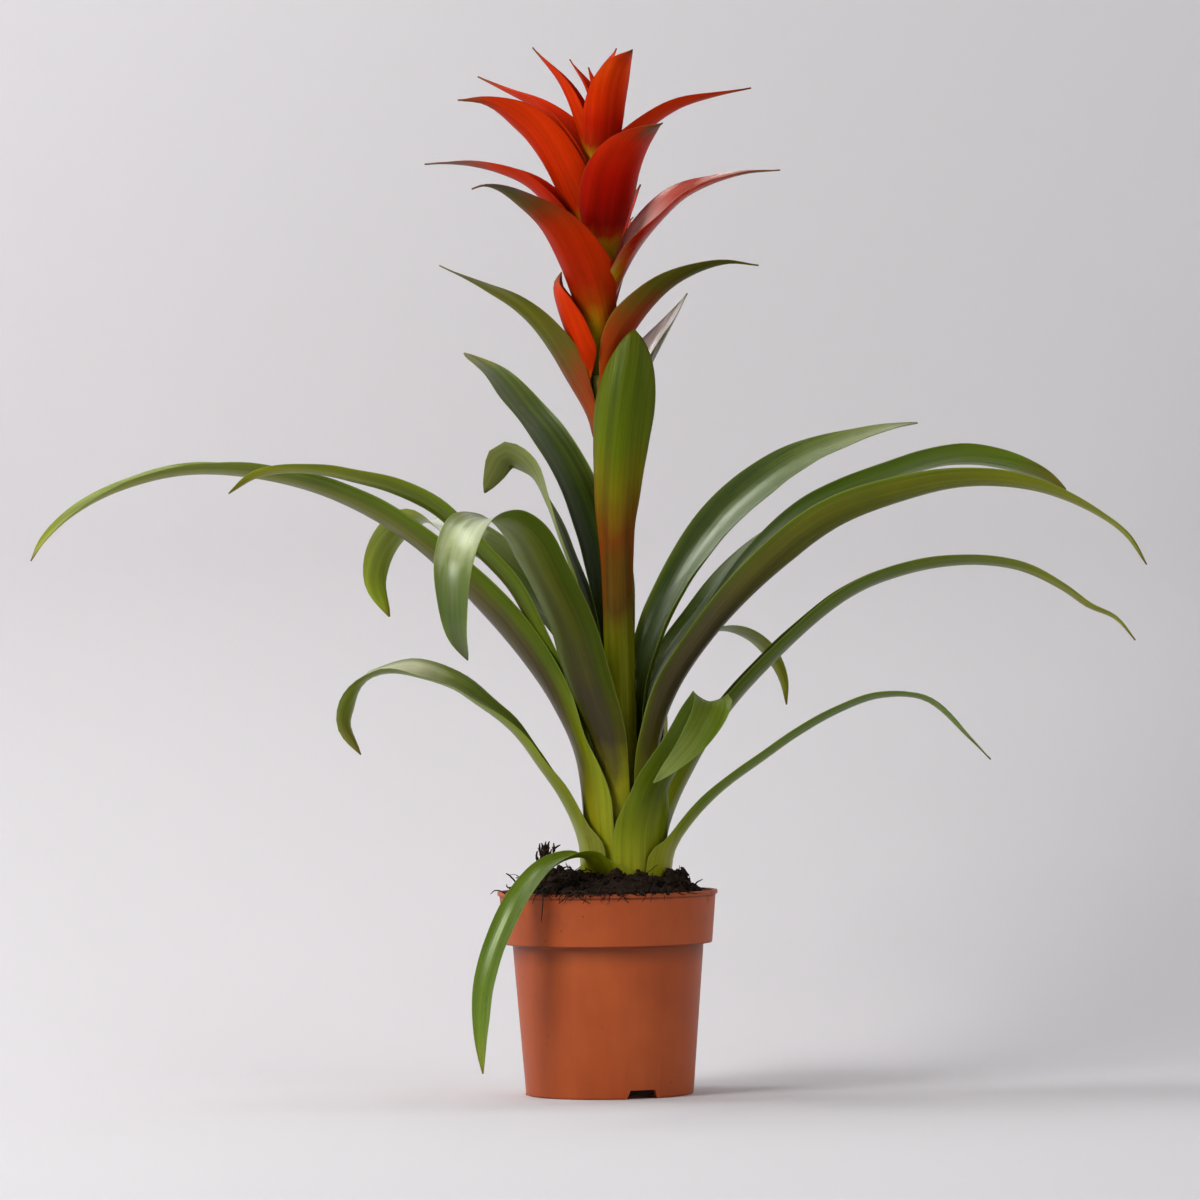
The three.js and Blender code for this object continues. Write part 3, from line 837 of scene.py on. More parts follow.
LEAF_UPPER = {
    0: "81820d", 0.12: "4a5604", 0.3: "344603", 0.6: "3f5203", 0.88: "546406", 0.98: "7f8411",
    1: "6b5a17",
}
LEAF_UNDER = {
    0: "979813", 0.1: "81860d", 0.22: "535809", 0.45: "4a5409", 0.7: "515e08", 0.96: "7f8411",
    1: "6b5a17",
}
LEAF_MARGIN = {
    0: "979813", 0.12: "747c09", 0.25: "465604", 0.6: "4f6205", 0.96: "7f8411", 1: "6b5a17",
}
BROWN_KEEL = {
    0: "979813", 0.07: "88840f", 0.14: "504816", 0.22: "463a28", 0.34: "4a402a", 0.44: "504c18",
    0.6: "585c0c", 0.96: "7f8411", 1: "6b5a17",
}
LEAF_GREEN = BladeFinish(upper=LEAF_UPPER, under=LEAF_UNDER, margin=LEAF_MARGIN)
LEAF_BROWN_KEEL = replace(LEAF_GREEN, under=BROWN_KEEL, keel=0.9)
LEAF_FRONT_ARCHING = replace(
    LEAF_GREEN,
    under={
        0: "979813", 0.08: "8f8a12", 0.12: "564e14", 0.17: "382c20", 0.26: "383022", 0.36: "40420b",
        0.5: "4d540e", 0.7: "55640c", 1: "5e6a0a",
    },
    margin={
        0: "979813", 0.1: "88860f", 0.16: "4a4410", 0.26: "3f4806", 0.45: "45560a", 0.7: "50640c",
        1: "5e6a0a",
    },
    # Upper stops 0.73 to 0.83 are a painted highlight on the hanging tip
    upper={
        0: "81820d", 0.66: "506010", 0.73: "6c7a34", 0.78: "a0aa84", 0.83: "98a278", 0.87: "5c6c34",
        0.92: "485a22", 1: "4a5424",
    },
    roughness=0.34, shine=0.28, coat=0.6, relief=0.25,
)
LEAF_FRONT_FOLDED = replace(
    LEAF_GREEN,
    under={
        0: "98981c", 0.12: "76800c", 0.25: "4c5a06", 0.45: "384804", 0.6: "3c4e04", 0.7: "4c6408",
        1: "76903c",
    },
    margin={
        0: "98981c", 0.12: "76800c", 0.25: "546406", 0.45: "425202", 0.65: "445804", 1: "86a048",
    },
    upper={0: "83822a", 0.5: "50600a", 0.66: "54640c", 0.8: "627418", 0.95: "86964a", 1: "747a40"},
    roughness=0.4, shine=0.35,
)
LEAF_GLOSSY = replace(
    LEAF_GREEN,
    upper={0: "83822a", 0.15: "3c4808", 0.4: "3c5204", 0.7: "4a6008", 0.95: "788432", 1: "6b5a2e"},
    margin={0: "98983c", 0.15: "6a7008", 0.4: "6c7604", 0.7: "5e740c", 0.95: "7f843a", 1: "6b5a2e"},
    roughness=0.3, shine=0.4, coat=0.9, relief=0.35,
)
LEAF_BRIGHT = replace(
    LEAF_GREEN,
    upper={0: "8a8c09", 0.2: "536802", 0.6: "4f6801", 0.85: "5e7a03", 0.97: "748009", 1: "6b5a17"},
    under={0: "97980e", 0.2: "657406", 0.6: "516804", 0.9: "5e7604", 1: "6b5a17"},
    margin={0: "97980e", 0.2: "5a7002", 0.6: "4d6801", 0.9: "5e7604", 1: "6b5a17"},
    roughness=0.3, shine=0.4, coat=0.5,
)
LEAF_DARK = replace(
    LEAF_GREEN,
    upper={0: "555a06", 0.2: "303e01", 0.45: "253401", 0.7: "304001", 0.92: "425003", 1: "746e11"},
    under={0: "868a0f", 0.3: "424e05", 0.7: "394804", 0.95: "586009", 1: "6b5a17"},
    margin={0: "868a0f", 0.3: "465404", 0.7: "3f5003", 0.95: "586009", 1: "6b5a17"},
    shine=0.25, coat=0.12, streaks=0.3,
)
LEAF_LEFT_LONG = replace(LEAF_BROWN_KEEL, keel=0.62)
LEAF_LEFT_LOWEST = replace(
    LEAF_GLOSSY,
    # Upper stops 0.62 to 0.87 are a painted highlight along the crest
    upper={
        0: "83822a", 0.15: "5c6c14", 0.5: "506210", 0.62: "6c7834", 0.7: "c0c2a4", 0.81: "c4c6a8",
        0.87: "7e8a44", 1: "7e873f",
    },
    under={0: "979813", 0.2: "6c7a10", 0.6: "5c6c14", 0.85: "6a7a20", 1: "6b5a17"},
)
LEAF_LEFT_INNER = replace(
    LEAF_GREEN,
    upper={0: "8a8c09", 0.3: "5a3c0a", 0.45: "5a4a0a", 0.55: "253601", 0.8: "707a34", 1: "70742d"},
    under={0: "97a00c", 0.2: "798c05", 0.4: "606e04", 0.58: "646e2c", 0.72: "8a9458", 1: "70743d"},
    margin={
        0: "97a00c", 0.2: "819607", 0.42: "798a07", 0.58: "68742c", 0.72: "8c965a", 1: "70743d",
    },
    roughness=0.42,
)
LEAF_BACK_LOBE = replace(
    LEAF_GLOSSY,
    under={0: "979813", 0.4: "4c5808", 0.65: "667228", 0.85: "7a8634", 0.97: "7c8a1e", 1: "6b5a17"},
    margin={
        0: "979813", 0.4: "5a6608", 0.65: "78843c", 0.85: "86923c", 0.97: "84921e", 1: "6b5a17",
    },
    # Upper stops 0.72 and 0.84 are a painted white highlight on the crest
    upper={0: "81820d", 0.5: "3c4a10", 0.65: "525e26", 0.72: "ccceba", 0.84: "b8bc98", 1: "6b5a17"},
)
SCAPE_GREEN = BladeFinish(
    upper={0: "7c7412", 0.5: "545006", 0.8: "4d5a03", 1: "63640e"},
    under={
        0: "88840e", 0.34: "656804", 0.4: "635c04", 0.45: "4e3406", 0.52: "5a3a05", 0.58: "6c3305",
        0.63: "6c4e04", 0.7: "656001", 0.77: "515e01", 0.87: "445402", 0.98: "444c06", 1: "535409",
    },
    margin={
        0: "88840e", 0.36: "656804", 0.45: "5c3a08", 0.56: "7a3509", 0.64: "6a4c06", 0.72: "6b6402",
        0.8: "586603", 1: "4a5407",
    },
    rim="7a3f0e", roughness=0.4, shine=0.25, streaks=0.2,
)
BRACT_GREEN = BladeFinish(
    upper={0: "8a5a10", 0.3: "7a3f15", 0.5: "5e600d", 0.85: "656410", 1: "767229"},
    under={
        0: "84440d", 0.12: "8e330c", 0.24: "803715", 0.34: "644316", 0.46: "565516", 0.6: "5a5a0c",
        0.85: "656210", 1: "70705a",
    },
    margin={0: "84440d", 0.1: "9a3109", 0.26: "8a3310", 0.4: "5c5013", 0.6: "55560a", 1: "70705a"},
    rim="86601d", roughness=0.42, shine=0.4,
)
RED_UPPER = {
    0: "9a8c0a", 0.14: "9a6204", 0.22: "780802", 0.5: "a81101", 0.72: "b62003", 0.86: "8a2c12",
    0.95: "6c5222", 1: "524a40",
}
RED_UNDER = {
    0: "9c9409", 0.16: "948209", 0.26: "984405", 0.33: "8c1602", 0.45: "a01601", 0.62: "b42202",
    0.76: "ae2908", 0.86: "783314", 0.93: "60541f", 1: "504c42",
}
BRACT_RED = BladeFinish(
    upper=RED_UPPER, under=RED_UNDER, margin=RED_UNDER, rim="9c2c0c", roughness=0.42, shine=0.12,
    tint=(1.0, 0.4, 0.15), streaks=0.1, mottle=0.2, relief=0.3,
)
BRACT_ORANGE = replace(
    BRACT_RED,
    upper={
        0: "9a8c0a", 0.14: "a04f04", 0.25: "a01b01", 0.55: "c82c03", 0.82: "d03a0c", 0.93: "843316",
        1: "604c22",
    },
    under={
        0: "9c9409", 0.12: "a07008", 0.22: "a42502", 0.5: "c02901", 0.8: "bc2e07", 0.92: "843315",
        1: "604c22",
    },
    margin={0: "a07a08", 0.2: "a82502", 0.5: "c62e02", 0.85: "c23109", 1: "6a4c22"},
)
BRACT_FRONT_LEFT = replace(
    BRACT_RED,
    under={
        0: "443808", 0.06: "5c540a", 0.12: "8c7a09", 0.2: "966606", 0.27: "943705", 0.36: "981e05",
        0.5: "a82202", 0.6: "b02903", 0.67: "942e0d", 0.74: "66481d", 0.82: "58501e", 1: "58524a",
    },
    margin={
        0: "443808", 0.1: "846007", 0.2: "984106", 0.3: "9c2703", 0.5: "b22701", 0.62: "a6310a",
        0.72: "743c17", 0.82: "585240", 1: "58524a",
    },
)
BRACT_FRONT = replace(
    BRACT_RED,
    under={
        0: "8e8a06", 0.09: "90860a", 0.14: "986c06", 0.18: "8c2006", 0.24: "700402", 0.36: "840401",
        0.52: "a00c01", 0.7: "b42004", 0.8: "a02c10", 0.88: "744030", 1: "4c4638",
    },
    margin={
        0: "8e8a06", 0.1: "968006", 0.16: "a04606", 0.22: "860a02", 0.48: "a01202", 0.68: "ba2604",
        0.84: "9e2a0c", 0.93: "6a3a20", 1: "56483a",
    },
)
BRACT_RIGHT = replace(
    BRACT_RED,
    under={
        0: "8e7a0a", 0.12: "966008", 0.22: "941405", 0.5: "a21105", 0.7: "943015", 0.84: "6c4a1f",
        1: "5a524a",
    },
    # Upper stops 0.12 to 0.54 are a painted pink-white highlight over the red
    upper={
        0: "9a7a0a", 0.12: "b04a38", 0.25: "d08a80", 0.42: "dca8a0", 0.54: "c05a4c", 0.66: "a4412e",
        0.8: "745038", 1: "5e564c",
    },
    roughness=0.24, shine=0.5, tint=(1.0, 0.7, 0.6), coat=0.9,
)
BRACT_DRY_TIP = replace(
    BRACT_RED,
    under={
        0: "9c9409", 0.14: "987009", 0.24: "8c1602", 0.45: "a61a01", 0.66: "b02a0c", 0.76: "94443a",
        0.86: "8a706a", 1: "5a524c",
    },
    margin={
        0: "9c9409", 0.14: "987009", 0.24: "8c1602", 0.45: "b02202", 0.68: "b4300e", 0.78: "8a4a3c",
        0.88: "6c5a50", 1: "5a524c",
    },
)
BRACT_LOWER_RIGHT = replace(
    BRACT_RED,
    under={
        0: "a83f0a", 0.2: "a8380d", 0.34: "943111", 0.46: "783515", 0.56: "5a4614", 0.7: "424410",
        0.9: "424611", 1: "54561e",
    },
    margin={0: "a83f0a", 0.25: "9c3c11", 0.4: "6c4a17", 0.55: "4c4a12", 0.9: "424611", 1: "54561e"},
    rim="7a6a22",
)
BRACT_PAINTED_HIGHLIGHT = replace(
    BRACT_GREEN,
    # Its near-white upper colours are a painted highlight
    upper={0: "b0ac60", 0.2: "d2d0b0", 0.4: "eeece6", 0.8: "eeece6", 0.94: "b4b48c", 1: "74782d"},
    roughness=0.22, shine=0.6, tint=(1.0, 1.0, 0.95), coat=1.0, relief=0.9, streaks=0.4,
)
INNER_RED = {
    0: "9c9409", 0.2: "a02502", 0.45: "b82002", 0.75: "c42c06", 0.94: "b83012", 0.985: "7a2a14",
    1: "4a2c1c",
}
BRACT_INNER = replace(BRACT_RED, upper=INNER_RED, under=INNER_RED, margin=INNER_RED)
BRACT_TOP = replace(
    BRACT_RED,
    under={
        0: "9c9409", 0.12: "948209", 0.2: "984405", 0.26: "8c1602", 0.4: "a81601", 0.6: "c42a02",
        0.8: "ce3a08", 0.93: "b2300c", 0.98: "5a3a1c", 1: "443a2c",
    },
    margin={
        0: "9c9409", 0.14: "948209", 0.24: "982404", 0.4: "b41a01", 0.6: "cc3002", 0.8: "d8460c",
        0.94: "c0380e", 0.985: "5a3a1c", 1: "443a2c",
    },
)


@dataclass(frozen=True, kw_only=True)
class Blade:
    """A leaf or bract: a channelled strap along a spine, thin at both margins.

    Attributes:
        name: Name of the solid that the piece stands for.
        azimuth: Direction that it leans towards, in degrees.
        width: Widest across, in millimetres.
        spine: Points past the root: reach from the axis, height and, where given, sideways shift.
        finish: Its looks.
        slot: A material slot's name.
        cup: Half angle of the channel from root to tip, in radians.
        roll: Turn about the midrib from root to tip, in degrees.
        ripple: How far the margins wave, in millimetres.
    """

    name: str
    azimuth: float
    width: float
    spine: tuple[Point, ...]
    finish: BladeFinish
    slot: str = "leaf"
    cup: Point = BRACT_CUP
    roll: Point = (0.0, 0.0)
    ripple: float = 0.35

    COLUMNS = 17
    RING_STEP = 4.5
    FEWEST_RINGS = 22
    MID_THICKNESS = 0.95
    EDGE_THICKNESS = 0.3
    # The margins' waves: waves to a millimetre, how they differ from blade to blade and from
    # side to side, the share of the length that they grow over, and the noise's gain
    RIPPLE_PITCH = 0.045
    RIPPLE_PHASE = 0.37
    RIPPLE_SIDES = 3.0
    RIPPLE_RISE = 0.3
    RIPPLE_GAIN = 2.0
    FINISH_SEED = 0.113

    def axis_x(self) -> float:
        """Finds the axis that the blade grows from.

        Returns:
            Its X in millimetres.
        """
        raise NotImplementedError

    def root(self) -> tuple[float, float]:
        """Finds the blade's root.

        Returns:
            Its reach and height in millimetres.
        """
        raise NotImplementedError

    def width_at(self, share: float) -> float:
        """Finds the blade's width.

        Args:
            share: Share of the blade's length.

        Returns:
            The width there, in millimetres.
        """
        raise NotImplementedError

    def profile(self) -> tuple[Point, ...]:
        """Lists the root and the spine's points.

        Returns:
            Points of reach, height and, where given, sideways shift.
        """
        return (self.root(), *self.spine)

    def neck(self) -> float:
        """Finds where the sheath turns into the blade.

        Returns:
            A share of the spine's length.
        """
        points = self.profile()
        steps = [math.dist(a[:2], b[:2]) for a, b in zip(points, points[1:])]
        return (points[1][1] - points[0][1]) / sum(steps)

    def past_neck(self, share: float, scale: float = 1.0) -> float:
        """Tells how far a place is past the neck.

        Args:
            share: Share of the blade's length.
            scale: How much further along the neck is taken to be.

        Returns:
            From 0 in the sheath to 1 where the blade is fully formed.
        """
        neck = self.neck() * scale
        return smooth((share - NECK_FROM * neck) / (NECK_SPAN * neck))

    def row(self, spine: Spine, share: float, columns: np.ndarray) -> tuple[np.ndarray, float]:
        """Makes one ring of points round the blade.

        Args:
            spine: The blade's spine.
            share: Share of the spine's length.
            columns: Places across, from -1 to 1.

        Returns:
            The upper face's points, then the under face's from last to first, and the ring's width.
        """
        outward, sideways = level_directions(self.azimuth)
        centre, along = spine.at(share)
        side = sideways - along * float(along @ sideways)
        side /= np.linalg.norm(side)
        inner = np.cross(along, side)
        roll = math.radians(keyed(self.roll, share))
        across = side * math.cos(roll) + inner * math.sin(roll)
        up = inner * math.cos(roll) - side * math.sin(roll)
        width = self.width_at(share)
        reach = float((centre - np.array([self.axis_x(), 0.0, 0.0])) @ outward)
        clasp = width / (2.0 * max(reach, 1.0))
        cup = keyed(self.cup, share) * self.past_neck(share)
        angle = min(MAX_CLASP, (clasp**4 + cup**4) ** 0.25)
        radius = width / (2.0 * angle)
        theta = columns * angle
        middle = centre + np.outer(radius * np.sin(theta), across)
        middle = middle + np.outer(radius * (1 - np.cos(theta)), up)
        normal = np.outer(np.cos(theta), up) - np.outer(np.sin(theta), across)
        middle += normal * self._waves(spine.total * share, share, columns)[:, None]
        thin = self.EDGE_THICKNESS - self.MID_THICKNESS
        half = (self.MID_THICKNESS + thin * columns**2) / 2.0
        upper = middle + normal * half[:, None]
        under = middle - normal * half[:, None]
        return np.vstack([upper, under[::-1]]), width

    def _waves(self, length: float, share: float, columns: np.ndarray) -> np.ndarray:
        """Finds how far the margins wave off the channel.

        Args:
            length: Length from the root, in millimetres.
            share: Share of the blade's length.
            columns: Places across, from -1 to 1.

        Returns:
            Offsets in millimetres, one for each column.
        """
        calm = self.ripple * smooth(share / self.RIPPLE_RISE)
        phase = self.azimuth * self.RIPPLE_PHASE
        waves = []
        for column in columns:
            lane = phase + self.RIPPLE_SIDES * math.copysign(1.0, column)
            waves.append(noise.noise(Vector((length * self.RIPPLE_PITCH, lane, 0.5))))
        return calm * self.RIPPLE_GAIN * np.array(waves) * columns**2

    def build(self) -> Object:
        """Builds the blade's mesh with its material.

        Returns:
            The object, in place.
        """
        outward, sideways = level_directions(self.azimuth)
        base = np.array([self.axis_x(), 0.0, 0.0])
        points = []
        for reach, height, *rest in self.profile():
            shift = rest[0] if rest else 0.0
            raised = np.array([0.0, 0.0, height])
            points.append(base + outward * reach + sideways * shift + raised)
        spine = Spine(points)
        rings = max(self.FEWEST_RINGS, round(spine.total / self.RING_STEP))
        columns = np.sin(np.linspace(-1.0, 1.0, self.COLUMNS) * math.pi / 2.0)
        around = np.concatenate([columns, columns[::-1]])
        faces_up = np.repeat([Face.UPPER.value, Face.UNDER.value], self.COLUMNS)
        rows, notes = [], []
        for ring in range(rings + 1):
            share = ring / rings
            row, width = self.row(spine, share, columns)
            rows.append(row)
            shares = np.full(len(around), share)
            lengths = np.full(len(around), share * spine.total)
            notes.append(np.column_stack([shares, around, faces_up, lengths, around * width / 2.0]))
        mesh = loft(self.name, rows)
        names = ("along", "across", "face", "along_mm", "across_mm")
        for name, values in zip(names, np.vstack(notes).T):
            layer = mesh.attributes.new(name, "FLOAT", "POINT")
            layer.data.foreach_set("value", values.astype(np.float32))
        seed = self.azimuth * self.FINISH_SEED
        mesh.materials.append(self.finish.material(self.name, seed))
        return stand_for(self.name + "_blade", mesh, self.slot, self.name)


@dataclass(frozen=True, kw_only=True)
class Leaf(Blade):
    """A leaf of the rosette, whose sheath clasps the short stem.

    Attributes:
        layer: Place among the layers of sheaths, 0 for the outermost.
        wrap: Half angle that the sheath clasps, in degrees.
        taper_from: Share of the length where the blade starts to narrow.
        sheath_end: How soon the sheath narrows into the blade, less than 1 for sooner.
    """

    layer: int
    wrap: float
    taper_from: float = 0.5
    sheath_end: float = 1.0

    # Powers that shape the strap's end: how late it narrows, and how blunt its tip is
    TAPER_POWERS = (2.2, 0.75)

    def _sheath_radius(self) -> float:
        """Finds how far the sheath stands from the axis.

        Returns:
            The distance in millimetres.
        """
        return CAUDEX_RADIUS - LAYER_STEP * self.layer

    def axis_x(self) -> float:
        """Finds the plant's axis.

        Returns:
            Its X in millimetres.
        """
        return PLANT_X

    def root(self) -> tuple[float, float]:
        """Finds where the sheath stands on the short stem's cone.

        Returns:
            Reach and height in millimetres.
        """
        radius = self._sheath_radius()
        slope = CAUDEX_SLOPE * (CAUDEX_RADIUS - radius + SOLID_MID)
        return radius, CAUDEX_SHOULDER + slope + 2.0 * CLEARANCE

    def width_at(self, share: float) -> float:
        """Finds the width of the strap.

        Args:
            share: Share of the leaf's length.

        Returns:
            Its sheath's width up to the neck, then an even blade, pointed at the tip.
        """
        sheath = 2.0 * self._sheath_radius() * math.radians(self.wrap)
        past = max(0.0, (share - self.taper_from) / (1.0 - self.taper_from))
        late, blunt = self.TAPER_POWERS
        strap = self.width * (1.0 - past**late) ** blunt
        in_sheath = 1.0 - self.past_neck(share, self.sheath_end)
        return max(TIP_WIDTH, strap + (sheath - self.width) * in_sheath)


@dataclass(frozen=True, kw_only=True)
class Bract(Blade):
    """A bract of the flower head, which grows from the scape.

    Attributes:
        height: Height of its root, in millimetres.
        root_share: Share of its width that it has at the root.
        point: Powers that shape its point; the larger the first, the later it narrows.
    """

    height: float
    root_share: float = 0.5
    point: tuple[float, float] = (1.25, 1.15)

    def axis_x(self) -> float:
        """Finds the scape's axis at the bract's root.

        Returns:
            Its X in millimetres.
        """
        return scape_x(self.height)

    def root(self) -> tuple[float, float]:
        """Finds where the bract leaves the scape.

        Returns:
            Reach and height in millimetres.
        """
        return scape_radius(self.height) + BRACT_ROOT_GAP, self.height

    def width_at(self, share: float) -> float:
        """Finds the width of the bract.

        Args:
            share: Share of the bract's length.

        Returns:
            A width broad in the lower half, narrowing to the point.
        """
        past = max(0.0, (share - BRACT_WIDEST) / (1.0 - BRACT_WIDEST))
        taper = (1.0 - past ** self.point[0]) ** self.point[1]
        swell = self.root_share + (1.0 - self.root_share) * smooth(share / BRACT_WIDEST)
        return max(TIP_WIDTH, self.width * swell * taper)


LEAVES = (
    Leaf(
        name="leaf_front_drooping", azimuth=236, layer=0, width=18, wrap=46, cup=(0.9, 0.7, 0.5),
        spine=(
            (29, 131), (37, 139), (50, 141, -3), (68, 135, -10), (84, 118, -18), (95, 94, -25),
            (101, 68, -31), (101, 44, -34), (99, 17, -35),
        ),
        finish=LEAF_BRIGHT, slot="dark_leaf",
    ),
    Leaf(
        name="leaf_back_low", azimuth=84, layer=0, width=26, wrap=58, cup=(1, 0.7, 0.5),
        spine=((29, 136), (40, 160), (66, 194), (106, 218), (150, 224), (190, 206), (212, 176)),
        finish=LEAF_GREEN, slot="dark_leaf",
    ),
    Leaf(
        name="leaf_right_lowest", azimuth=350, layer=1, width=24, wrap=55, cup=(0.9, 0.6, 0.5),
        spine=(
            (29, 143), (41, 161), (58, 178), (83, 196), (105, 211), (129, 224), (153, 232),
            (179, 230), (204, 208), (217, 195),
        ),
        finish=LEAF_BRIGHT, slot="dark_leaf",
    ),
    Leaf(
        name="leaf_left_lowest", azimuth=187, layer=1, width=28, wrap=58, cup=(1, 0.8, 0.5),
        roll=(0, 0, -2, -7, -14, -24, -28, 0, 45, 60),
        spine=(
            (28, 150), (38, 174), (50, 192), (67, 215), (85, 230), (102, 242), (129, 250),
            (150, 247), (161, 234), (165, 220), (156, 202),
        ),
        finish=LEAF_LEFT_LOWEST, slot="dark_leaf",
    ),
    Leaf(
        name="leaf_front_folded", azimuth=300, layer=2, width=28, wrap=48, cup=(1.1, 0.8, 0.5),
        spine=(
            (26, 158), (36, 179), (54, 194), (74, 209), (90, 224), (99, 231), (106, 226, -6),
            (108, 210, -18), (103, 185, -41),
        ),
        finish=LEAF_FRONT_FOLDED, slot="dark_leaf",
    ),
    Leaf(
        name="leaf_back_middle", azimuth=98, layer=2, width=32, wrap=46, cup=(1, 0.7, 0.5),
        spine=((27, 166), (40, 204), (64, 246), (98, 274), (140, 284), (180, 272), (208, 242)),
        finish=LEAF_GREEN, slot="dark_leaf",
    ),
    Leaf(
        name="leaf_left_long", azimuth=178, layer=3, width=44, wrap=80, sheath_end=0.74,
        cup=(1.3, 1.2, 0.95, 0.75, 0.5), roll=(0, 5, 22, 10, 2, -8, -30),
        spine=(
            (28.5, 198), (41, 228), (62, 261), (92, 296), (128, 329), (170, 353), (214, 366),
            (258, 369), (298, 360), (326, 346), (343, 331), (351, 319),
        ),
        finish=LEAF_LEFT_LONG,
    ),
    Leaf(
        name="leaf_right_middle", azimuth=2, layer=3, width=38, wrap=52, cup=(1.1, 0.8, 0.5),
        spine=(
            (25, 154, 2.2), (31.5, 172, 7), (40, 189, 7), (52, 210, 4), (72, 236, 1), (117, 279),
            (141, 295), (165, 304), (189, 309), (213, 310), (237, 306), (260, 295), (276, 284),
            (292, 277), (304, 264),
        ),
        finish=LEAF_GREEN,
    ),
    Leaf(
        name="leaf_left_upper", azimuth=187, layer=4, width=34, wrap=42, cup=(0.6, 0.85, 0.8, 0.6),
        roll=(0, 0, 0, 0, 5, 11, 8, 30),
        spine=(
            (23, 190, -4), (33, 228, -10), (51, 268, -6), (67, 298, -1), (88, 321), (111, 343.5),
            (135, 356), (159, 363), (177, 367), (200, 368.5), (217, 365.5), (232, 356),
        ),
        finish=LEAF_GREEN,
    ),
    Leaf(
        name="leaf_right_back_low", azimuth=50, layer=4, width=22, wrap=50, cup=(1, 0.7, 0.5),
        spine=(
            (22.5, 204), (35, 242), (58, 264), (86, 273), (113, 271), (138, 260), (152, 244),
            (156, 228),
        ),
        finish=LEAF_GREEN,
    ),
    Leaf(
        name="leaf_right_big", azimuth=347, layer=5, width=37, wrap=58, taper_from=0.6,
        cup=(1.3, 1.1, 0.6), roll=(0, -5, -25, -10, 0),
        spine=(
            (20, 204), (31, 236), (58, 274), (92, 308), (128, 334), (168, 348), (206, 355),
            (244, 352), (276, 340), (298, 325), (311, 307),
        ),
        finish=LEAF_BROWN_KEEL,
    ),
    Leaf(
        name="leaf_left_back", azimuth=155, layer=5, width=31, wrap=36, taper_from=0.6,
        cup=(1, 0.7, 0.5), roll=(0, 0, -10, -25, -30, 32, 62),
        spine=(
            (22, 224), (38, 268), (78, 314), (115, 336), (138, 341), (157, 327), (164, 306),
            (155, 284),
        ),
        finish=LEAF_BACK_LOBE,
    ),
    Leaf(
        name="leaf_front_arching", azimuth=243, layer=6, width=34, wrap=38, taper_from=0.65,
        cup=(0.8, 0.7, 0.5),
        spine=(
            (22, 206), (33, 238, -7.5), (52, 274, -9.5), (86, 304, -7.5), (124, 327, -2),
            (158, 335), (186.5, 331), (204, 312), (207.3, 290), (204.8, 270), (193, 256),
        ),
        finish=LEAF_FRONT_ARCHING,
    ),
    Leaf(
        name="leaf_right_back", azimuth=20, layer=6, width=36, wrap=54, taper_from=0.62,
        cup=(1.1, 0.8, 0.5), roll=(0, 0, -25, -25),
        spine=(
            (18, 226), (28, 252), (50, 280), (69, 304), (91, 325), (115, 341), (141, 352),
            (167, 361), (193, 370), (219, 375), (246, 373), (272, 366), (289, 357),
        ),
        finish=LEAF_BRIGHT,
    ),
    Leaf(
        name="leaf_left_inner", azimuth=158, layer=7, width=26, wrap=40, taper_from=0.78,
        cup=(1.1, 0.8, 0.5, 0.4), roll=(0, 0, 10, 60),
        spine=(
            (15.5, 238), (20, 265), (28, 298), (38, 325), (48, 350), (59, 370), (74, 378),
            (82, 367), (88, 357),
        ),
        finish=LEAF_LEFT_INNER,
    ),
    Leaf(
        name="leaf_back_tall", azimuth=95, layer=7, width=24, wrap=22, cup=(1, 0.7, 0.5),
        spine=(
            (17.3, 244), (28.5, 274), (50, 308), (78, 336), (112, 354), (150, 361), (186, 354),
            (212, 332),
        ),
        finish=LEAF_DARK,
    ),
    Leaf(
        name="leaf_right_upper", azimuth=30, layer=8, width=38, wrap=60, cup=(1.1, 0.8, 0.5),
        roll=(0, 0, 24, 14),
        spine=(
            (14, 236), (23, 266), (42, 301), (70, 336), (100, 360), (128, 376), (156, 386),
            (187, 395), (210, 399),
        ),
        finish=LEAF_GLOSSY,
    ),
    Leaf(
        name="leaf_back_upright", azimuth=125, layer=9, width=32, wrap=44, taper_from=0.72,
        cup=(1, 0.7, 0.5),
        spine=(
            (13, 264), (18, 292), (31, 328), (52, 363), (78, 390), (104, 410), (134, 432),
            (166, 447),
        ),
        finish=LEAF_DARK,
    ),
    Leaf(
        name="scape_bract_front", azimuth=268, layer=10, width=45, wrap=72, taper_from=0.78,
        cup=(1.3, 0.9, 0.6),
        spine=(
            (10.3, 318, -3), (14, 348, -2.5), (19, 383, 0.5), (22, 413, 4.5), (22, 434, 8),
            (20, 450, 9.5),
        ),
        finish=SCAPE_GREEN, slot="green_bract",
    ),
)

